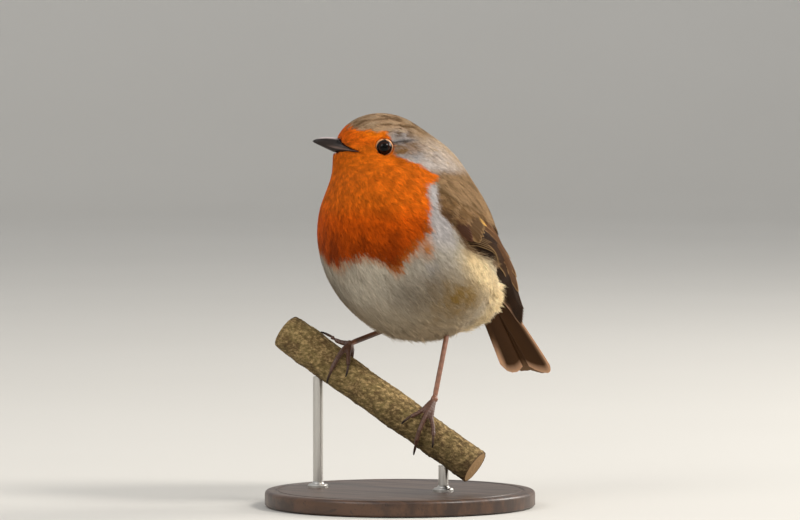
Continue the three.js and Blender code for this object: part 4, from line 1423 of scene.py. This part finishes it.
def bill_dye(forward, share, slit, upper):
    dye = np.broadcast_to(shade(36, 27, 23), (*share.shape, 3))
    layers = []
    if upper:  # a painted highlight along the ridge, dark nostrils and a darker side
        ridge = ease(0.80, 0.98, share) * ease(22.8, 20.5, forward) * ease(14, 16.5, forward)
        layers += [(shade(206, 194, 192), 0.85 * ridge), (shade(12, 9, 9), slit)]
        layers += [(shade(26, 20, 18), 0.5 * ease(0.45, 0.7, share) * ease(0.9, 0.75, share))]
    pale_edge = ease(0.26, 0.04, abs(share)) * ease(19.5, 14, forward)
    layers += [(shade(146, 124, 116), 0.75 * pale_edge)]
    layers += [(shade(150, 108, 88), 0.6 * ease(10.8, 9.4, forward))]
    layers += [(shade(30, 24, 22), 0.7 * ease(20, 22.5, forward))]
    for colour, amount in layers:
        dye = blend(dye, colour, amount[..., None])
    return dye.reshape(-1, 3)


def bill_half(upper):
    forward, left, height, share, slit = bill_surface(upper)
    rows, columns = left.shape
    p = HEAD_AT + FACE * forward[..., None] + CHEEK * left[..., None] + UP * height[..., None]
    grid = np.arange(rows * columns).reshape(rows, columns)
    turned = np.roll(grid, -1, 1)
    quads = quads_of(np.concatenate([grid, turned[:, -1:]], 1))
    # Each end is closed by a fan round a corner at its middle.
    root_end, tip_end = (np.full(columns, rows * columns + k) for k in (0, 1))
    tris = np.concatenate([
        quads[:, [0, 1, 2]], quads[:, [0, 2, 3]],
        np.stack([turned[0], grid[0], root_end], -1), np.stack([tip_end, grid[-1], turned[-1]], -1),
    ])
    points = np.concatenate([p.reshape(-1, 3), p[[0, -1]].mean(1)])
    dye = bill_dye(forward, share, slit, upper)
    dye = np.concatenate([dye, dye[:1], dye[-1:]])
    volume = dot(points[tris[:, 0]], np.cross(points[tris[:, 1]], points[tris[:, 2]])).sum()
    return points, tris if volume > 0 else tris[:, ::-1], dye


def bristle(root, way, long, thick):
    """A tapering bristle that bends down a little, as a closed four-sided spike."""
    way = unit(way)
    side = unit(np.cross(way, UP + 0.1))
    over = np.cross(side, way)
    sag = UP * long * 0.22
    points, tris = [], [(2, 1, 0), (3, 2, 0)]
    for t, share in ((0, 1.0), (0.4, 0.8), (0.75, 0.5)):
        centre = root + way * long * t - sag * t**2
        for angle in (0, math.pi / 2, math.pi, math.pi * 1.5):
            points.append(centre + (side * math.cos(angle) + over * math.sin(angle)) * thick * share)
    points.append(root + way * long - sag)
    for a in range(4):
        b = (a + 1) % 4
        for low in (0, 4):
            tris += [(low + a, low + b, low + 4 + b), (low + a, low + 4 + b, low + 4 + a)]
        tris.append((8 + a, 8 + b, 12))
    return np.array(points), np.array(tris)


def build_bill():
    for name, upper in (("upper", True), ("lower", False)):
        points, tris, dye = bill_half(upper)
        make_piece(f"bill_{name}_half", points, tris, HORN, dye, stands_for=(f"bill_{name}",))
    bristles = []
    for hand in (1, -1):
        for k in range(6):
            root = on_head(13.4 - 0.55 * k, hand * (2.5 + 0.16 * k), 1.7 + 0.22 * (k % 3))
            way = FACE * (0.9 - 0.1 * k) + CHEEK * hand * (0.55 + 0.1 * k) - UP * (0.25 + 0.06 * (k % 3))
            bristles.append(bristle(root, way, 3.4 - 0.25 * k, 0.045))
    points, tris = joined(bristles)
    dye = np.broadcast_to(shade(40, 28, 22), points.shape)
    make_piece("bristles_at_the_gape", points, tris, BRISTLE, dye)


# ---- Legs and feet ------------------------------------------------------------------------------
CLAWS = ("inner", "middle", "outer", "hind")


def build_leg(name):
    """Shank and foot as one skin of small plates, and a curved claw on each toe."""
    points, tris = joined([swelled(f"shank_{name}", 0.2), swelled(f"foot_{name}", 0.12)])
    leg = make_piece(f"leg_{name}", points, tris, SCALES,
                     stands_for=(f"shank_{name}", f"foot_{name}"))
    apply_modifier(leg, "REMESH", mode="VOXEL", voxel_size=0.0002)
    apply_modifier(leg, "SMOOTH", factor=0.5, iterations=5)
    p = corners_of(leg)
    n = corner_normals(p, triangles_of(leg))
    shank = node_mesh(f"shank_{name}")[0]
    ankle = shank[np.argsort(shank[:, 2])[:12]].mean(0)
    reach = length(p - ankle)
    foot_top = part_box(f"foot_{name}")[1].z / MM
    on_toe = ease(1.2, 2.4, reach) * ease(foot_top + 0.4, foot_top - 0.6, p[:, 2])
    toe_plate = abs(np.sin(np.pi * reach / 0.95)) ** 0.5
    shank_plate = abs(np.sin(np.pi * (p[:, 2] + 0.5 * n[:, 0]) / 2.1)) ** 0.35
    plate = blend(shank_plate, toe_plate, on_toe)
    front = ease(-0.6, 0.5, dot(n, unit(np.array([0.2, -1, 0.5]))))
    relief = (plate - 0.8) * blend(0.06, 0.10, on_toe) * (0.35 + 0.65 * front)
    p = p + n * (relief - 0.12)[:, None]
    move_corners(leg, p)
    smooth(leg)
    dye = blend(shade(132, 88, 66), shade(88, 58, 44), on_toe[:, None])
    between = (plate * (0.4 + 0.6 * front) + 0.6 * (1 - front))[:, None].clip(0, 1)
    dye = blend(dye * 0.62, dye, between) * (1 + 0.12 * cloud(p, 1.3))[:, None]
    paint(leg.data, dye)
    for toe in CLAWS:
        build_claw(f"{toe}_claw_{name}", f"claw_{toe}_{name}", ankle)


def build_claw(name, node, ankle):
    """A claw drawn back at its base, so that it grows out of the toe."""
    points, tris = node_mesh(node)
    points = points + corner_normals(points, tris) * 0.05
    claw = make_piece(name, points, tris, HORN, stands_for=(node,))
    apply_modifier(claw, "SUBSURF", levels=2, render_levels=2)
    p = corners_of(claw)
    base = p[np.argmin(length(p - ankle))]
    share = length(p - base) / length(p - base).max()
    back = unit(base - p[share < 0.45].mean(0))
    move_corners(claw, p + back * (1.3 * np.clip(1 - share / 0.5, 0, 1))[:, None])
    paint(claw.data, blend(shade(78, 56, 44), shade(26, 20, 18), ease(0.1, 0.8, share)[:, None]))


# ---- Perch --------------------------------------------------------------------------------------
PERCH_RADIUS = 5.8


def rolled_tube(name, low, high):
    """A sheet of bark rolled into a tube along +Z, its seam closed."""
    tube = added("grid", name, x_subdivisions=120, y_subdivisions=220, size=2 * MM)
    p = corners_of(tube)
    angle, along = p[:, 0] * math.pi, p[:, 1] * (high - low) / 2 + (low + high) / 2
    around = np.cos(angle) * PERCH_RADIUS, np.sin(angle) * PERCH_RADIUS
    move_corners(tube, np.stack([*around, along], -1))
    edit(tube)
    close_up(0.000002)
    return tube


def build_bark(centre, axis, turn, low, high):
    bark = rolled_tube("perch_bark", low, high)
    p = corners_of(bark)
    along, out = p[:, 2], unit(p * (1, 1, 0))
    line, out_world = centre + axis * along[:, None], out @ turn.T
    shell = Surface(*node_mesh("perch"))
    starts = centre + axis * along[:, None] * 0.998
    reach = []
    for start, way in zip(starts.tolist(), out_world.tolist()):
        hit = shell.tree.ray_cast(Vector(start), Vector(way), 20)
        reach.append(hit[3] or PERCH_RADIUS)
    world = line + out_world * np.array(reach)[:, None]
    long_place = np.stack([along * 0.35, out[:, 0] * PERCH_RADIUS, out[:, 1] * PERCH_RADIUS], -1)
    grain = cloud(long_place, 1.1, 3.0) * 0.10 + cloud(long_place, 0.45, 8.0) * 0.05
    lumps = cloud(world, 3.2, 1.0) * 0.18
    warts = np.clip(cloud(world, 0.9, 6.0) - 0.35, 0, 1) * 0.35
    crack = -0.30 * np.exp(-((cloud(long_place, 1.7, 5.0) / 0.05) ** 2))
    crack = crack * ease(0.1, 0.6, cloud(world, 4.0, 2.2))
    rim = -0.35 * (np.exp(-(along - low) / 0.35) + np.exp(-(high - along) / 0.35))
    world = world + out_world * (grain + lumps + warts + crack + rim - 0.05)[:, None]
    move_corners(bark, world)
    smooth(bark)
    finish_piece(bark, BARK, ("perch",))


def build_cut_end(name, place, axis, turn, sign):
    """A sawn end with its growth rings standing out a little."""
    end = added("circle", name, vertices=72, radius=(PERCH_RADIUS - 0.28) * MM, fill_type="NGON")
    edit(end)
    for _ in range(9):
        bpy.ops.mesh.inset(thickness=0.00055)
    bpy.ops.object.mode_set(mode="OBJECT")
    p = corners_of(end)
    out = np.hypot(p[:, 0], p[:, 1])
    p[:, :2] *= (1 + 0.03 * ease(3, 5.5, out))[:, None]
    ring = 0.05 * np.sin(out * 6.5) + 0.06 * cloud(p, 1.2)
    p[:, 2] = ring * 0.6 - 0.16 * ease(4.6, 5.6, out)
    move_corners(end, place - axis * sign * 0.05 + p * (1, sign, sign) @ turn.T)
    paint(end.data, np.stack([out, out, out], -1) / 6)
    finish_piece(end, CUT_WOOD)


def build_perch():
    """A cut length of branch with the bark on, sawn square at both ends."""
    points, _ = node_mesh("perch")
    centre = points.mean(0)
    axis = np.linalg.svd(points - centre)[2][0]
    axis = axis * np.sign(axis[0])
    ends = (points - centre) @ axis
    turn = facing_frame(axis)
    build_bark(centre, axis, turn, ends.min(), ends.max())
    for name, at, sign in (("upper", ends.min(), -1), ("lower", ends.max(), 1)):
        build_cut_end(f"perch_cut_{name}", centre + axis * at, axis, turn, sign)


# ---- Display stand ------------------------------------------------------------------------------
def spun(name, profile, centre, steps):
    """A turned shape: the outline in (out, up) is spun round an upright axis."""
    mesh = bpy.data.meshes.new(name)
    edges = [(k, k + 1) for k in range(len(profile) - 1)]
    mesh.from_pydata([(r * MM, 0, z * MM) for r, z in profile], edges, [])
    piece = bpy.data.objects.new(name, mesh)
    bpy.context.scene.collection.objects.link(piece)
    edit(piece)
    bpy.ops.mesh.spin(steps=steps, angle=2 * math.pi, center=(0, 0, 0), axis=(0, 0, 1))
    close_up(0.000005)
    move_corners(piece, corners_of(piece) + centre)
    bpy.ops.object.shade_smooth_by_angle(angle=math.radians(32))
    return piece


AXIS = 0.001  # where an outline meets the axis it is spun round
BASE_EDGE, BASE_GROOVE, BASE_CHAMFER = 1.2, 0.3, 0.5
# The collar at each rod's foot: how far out from the rod and up from the base.
COLLAR = ((1.7, 0), (1.7, 0.7), (1.4, 1.1), (0.5, 1.3), (0.15, 1.9), (0, 2.0))


def build_stand():
    low, high = (np.array(c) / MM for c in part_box("stand_base"))
    radius, height = (high[0] - low[0]) / 2, high[2]
    profile = [(AXIS, 0), (radius - BASE_CHAMFER, 0), (radius, BASE_CHAMFER), (radius, height - 1.4)]
    for a in np.linspace(0.2, math.pi / 2, 7):  # the rounded upper edge
        inward = BASE_EDGE * (math.cos(a) - 1)
        profile.append((radius + inward, height + BASE_EDGE * (math.sin(a) - 1)))
    for inward, down in ((3.4, 0), (3.6, BASE_GROOVE), (4.2, BASE_GROOVE), (4.4, 0)):
        profile.append((radius - inward, height - down))
    base = spun("display_base", [*profile, (AXIS, height)], (0, 0, 0), 144)
    finish_piece(base, BASE_WOOD, ("stand_base",))
    for k in (1, 2):
        low, high = (np.array(c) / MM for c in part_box(f"stand_rod_{k}"))
        x, y = (low + high)[:2] / 2
        r, top = (high[0] - low[0]) / 2, high[2] - 0.6
        profile = [(AXIS, height), *((r + out, height + up) for out, up in COLLAR), (r, top), (AXIS, top)]
        rod = spun(f"display_rod_{k}", profile, (x, y, 0), 40)
        finish_piece(rod, ROD_METAL, (f"stand_rod_{k}",))


def bark_finish():
    """Mottled bark with fine pits, with painted light: paler where it faces up and towards its upper end.
    """
    finish = Finish("branch_bark", Roughness=0.86, Specular_IOR_Level=0.25)
    broad = finish.noise(160, 4, 0.6)
    patch = finish.noise(860, 6, 0.72, finish.stretched((0.62, 1, 1.15), (0, 0.62, 0)))
    speck = finish.noise(1900, 4, 0.7)
    pits = finish.node("TexVoronoi", {"Vector": finish.place(), "Scale": 620})
    colour = finish.mix(broad.step(0.36, 0.64), shade(112, 96, 58), shade(92, 72, 44))
    colour = finish.mix(patch.step(0.44, 0.72), colour, shade(182, 154, 106))
    colour = finish.mix(patch.step(0.46, 0.28), colour, shade(70, 50, 30))
    colour = finish.mix(pits.step(0.22, 0.05) * speck.step(0.45, 0.6) * 0.85, colour, shade(46, 32, 20))
    _, _, above = finish.parts(finish.node("TexCoord", out=1))
    across, _, _ = finish.parts(finish.place())
    # Painted light: brighter towards the upper end and where the bark faces up.
    light = (1.36 - across.step(-0.03, 0.03) * 0.42) * (0.86 + above * 0.3)
    colour = finish.tint(colour, (0.5 + speck * 0.86) * light)
    bump = finish.bump(patch * 0.7 + speck * 0.5, 0.8, 0.0004)
    return finish.feed(Base_Color=colour, Normal=bump).material


def cut_wood_finish():
    """Growth rings, from the distance out that is painted on the piece, inside a ring of bark."""
    finish = Finish("sawn_wood", Roughness=0.8)
    out = finish.node("SeparateColor", {0: finish.painted("dye")})
    rings = (out * 90 + finish.noise(260, 3) * 5).sum("SINE")
    colour = finish.mix(rings.step(-0.8, 1), shade(176, 142, 96), shade(148, 112, 70))
    colour = finish.mix(out.step(0.80, 0.88), colour, shade(92, 66, 40))
    return finish.feed(Base_Color=finish.tint(colour, 0.85 + finish.noise(1500, 3) * 0.3)).material


def base_wood_finish():
    finish = Finish("dark_turned_wood", Roughness=0.42, Coat_Weight=0.25, Coat_Roughness=0.25)
    grain = finish.noise(2.0, 5, 0.6, finish.stretched((14, 150, 60)))
    pores = finish.noise(9.0, 3, 0.6, finish.stretched((20, 420, 90)))
    colour = finish.mix(grain.step(0.35, 0.65), shade(84, 56, 36), shade(52, 33, 21))
    colour = finish.mix(pores.step(0.56, 0.68) * 0.6, colour, shade(30, 18, 11))
    bump = finish.bump(pores, 0.2, 0.0001)
    return finish.feed(Base_Color=colour, Roughness=0.34 + grain * 0.2, Normal=bump).material


def rod_finish():
    finish = Finish("brushed_steel", Roughness=0.3, Metallic=1.0)
    lines = finish.noise(40, 3, 0.6, finish.stretched((30, 30, 0.6)))
    colour = finish.mix(lines, (0.55, 0.53, 0.50), (0.68, 0.66, 0.62))
    return finish.feed(Base_Color=colour, Roughness=0.24 + lines * 0.2).material


def painted_finish(name, grain=1500, swing=0.2, bump=0.0, **constants):
    """A finish that takes its colour from the piece, with a fine grain."""
    finish = Finish(name, **constants)
    fine = finish.noise(grain, 3)
    finish.feed(Base_Color=finish.tint(finish.painted("dye"), 1 - swing / 2 + fine * swing))
    if bump:
        finish.feed(Normal=finish.bump(fine, bump, 0.00006))
    return finish.material


# ---- Stage --------------------------------------------------------------------------------------
CAMERA_AZIMUTH, CAMERA_ELEVATION = math.radians(33), math.radians(2.5)
CAMERA_AIM, CAMERA_DISTANCE = Vector((0, 0, 0.0781)), 1.8
VIEW_WIDTH = 0.254  # how much the picture spans at the bird


def build_camera():
    level = math.cos(CAMERA_ELEVATION)
    toward = Vector((math.sin(CAMERA_AZIMUTH) * level, -math.cos(CAMERA_AZIMUTH) * level,
                     math.sin(CAMERA_ELEVATION)))
    data = bpy.data.cameras.new("camera")
    data.sensor_width = 36
    data.lens = data.sensor_width * CAMERA_DISTANCE / VIEW_WIDTH
    data.clip_start, data.clip_end = 0.05, 60
    camera = bpy.data.objects.new("camera", data)
    camera.location = CAMERA_AIM + toward * CAMERA_DISTANCE
    camera.rotation_euler = toward.to_track_quat("Z", "Y").to_euler()
    bpy.context.scene.collection.objects.link(camera)
    bpy.context.scene.camera = camera


LIGHTS = (  # name, place, size, power and tint
    ("key", (1.3, 0.05, 1.2), 0.5, 18, (1.0, 0.96, 0.90)),
    ("front", (-0.25, -1.25, 0.95), 0.9, 7.5, (1.0, 0.98, 0.95)),
    ("rim", (0.75, 1.15, 0.7), 0.7, 17, (1.0, 0.96, 0.9)),
)


def soft_light(name, place, size, power, tint):
    data = bpy.data.lights.new(name, "AREA")
    data.shape, data.size, data.energy, data.color = "DISK", size, power, tint
    light = bpy.data.objects.new(name, data)
    light.location = place
    light.rotation_euler = (Vector(place) - Vector((0, 0, 0.08))).to_track_quat("Z", "Y").to_euler()
    bpy.context.scene.collection.objects.link(light)


def paper_finish():
    """Pale paper, painted paler as it rises behind the model, where less light reaches it."""
    finish = Finish("studio_paper", Roughness=0.95, Specular_IOR_Level=0.1)
    soft = finish.noise(3, 2)
    _, _, height = finish.parts(finish.place())
    paper = finish.mix(soft, (0.62, 0.60, 0.56), (0.66, 0.64, 0.60))
    # Painted light: the paper grows paler with height.
    return finish.feed(Base_Color=finish.mix(height.step(0.0, 0.9), paper, (0.93, 0.92, 0.90))).material


def build_stage():
    world = bpy.data.worlds.new("studio")
    bpy.context.scene.world = world
    world.use_nodes = True
    background = world.node_tree.nodes["Background"].inputs
    background["Color"].default_value = (0.95, 0.97, 1.0, 1)
    background["Strength"].default_value = 0.55
    for light in LIGHTS:
        soft_light(*light)
    bend = [(2600 + 1000 * math.sin(a), 1000 - 1000 * math.cos(a)) for a in np.linspace(0, math.pi / 2, 13)]
    floor = spun("floor", [(AXIS, 0), (900, 0), *bend, (3600, 1800)], (0, 0, -0.3), 96)
    floor.data.materials.append(paper_finish())
    view = bpy.context.scene.view_settings
    view.view_transform, view.look = "Standard", "None"


# ---- Assembly -----------------------------------------------------------------------------------
PLUMAGE = plumage_finish("plumage")
VANES = vane_finish("wing_and_tail_feathers")
EYE = painted_finish("wet_dark_eye", 900, 0.1, Roughness=0.04, Specular_IOR_Level=0.13)
LIDS = painted_finish("eyelid_skin", 3000, 0.2, 0.3, Roughness=0.5)
HORN = painted_finish("bill_and_claw_horn", 1400, 0.18, 0.25, Roughness=0.40, Specular_IOR_Level=0.28)
BRISTLE = painted_finish("bristle_hair", 2000, 0.2, Roughness=0.5)
SCALES = painted_finish("leg_scales", 2400, 0.24, 0.35, Roughness=0.42)
BARK = bark_finish()
CUT_WOOD = cut_wood_finish()
BASE_WOOD = base_wood_finish()
ROD_METAL = rod_finish()

build_camera()
build_stage()
under, draped = build_skin()
build_coat(under)
for name, hand in (("left", 1), ("right", -1)):
    build_wing(name, hand, draped)
    build_eye(name, hand)
    build_leg(name)
build_tail()
build_bill()
build_perch()
build_stand()
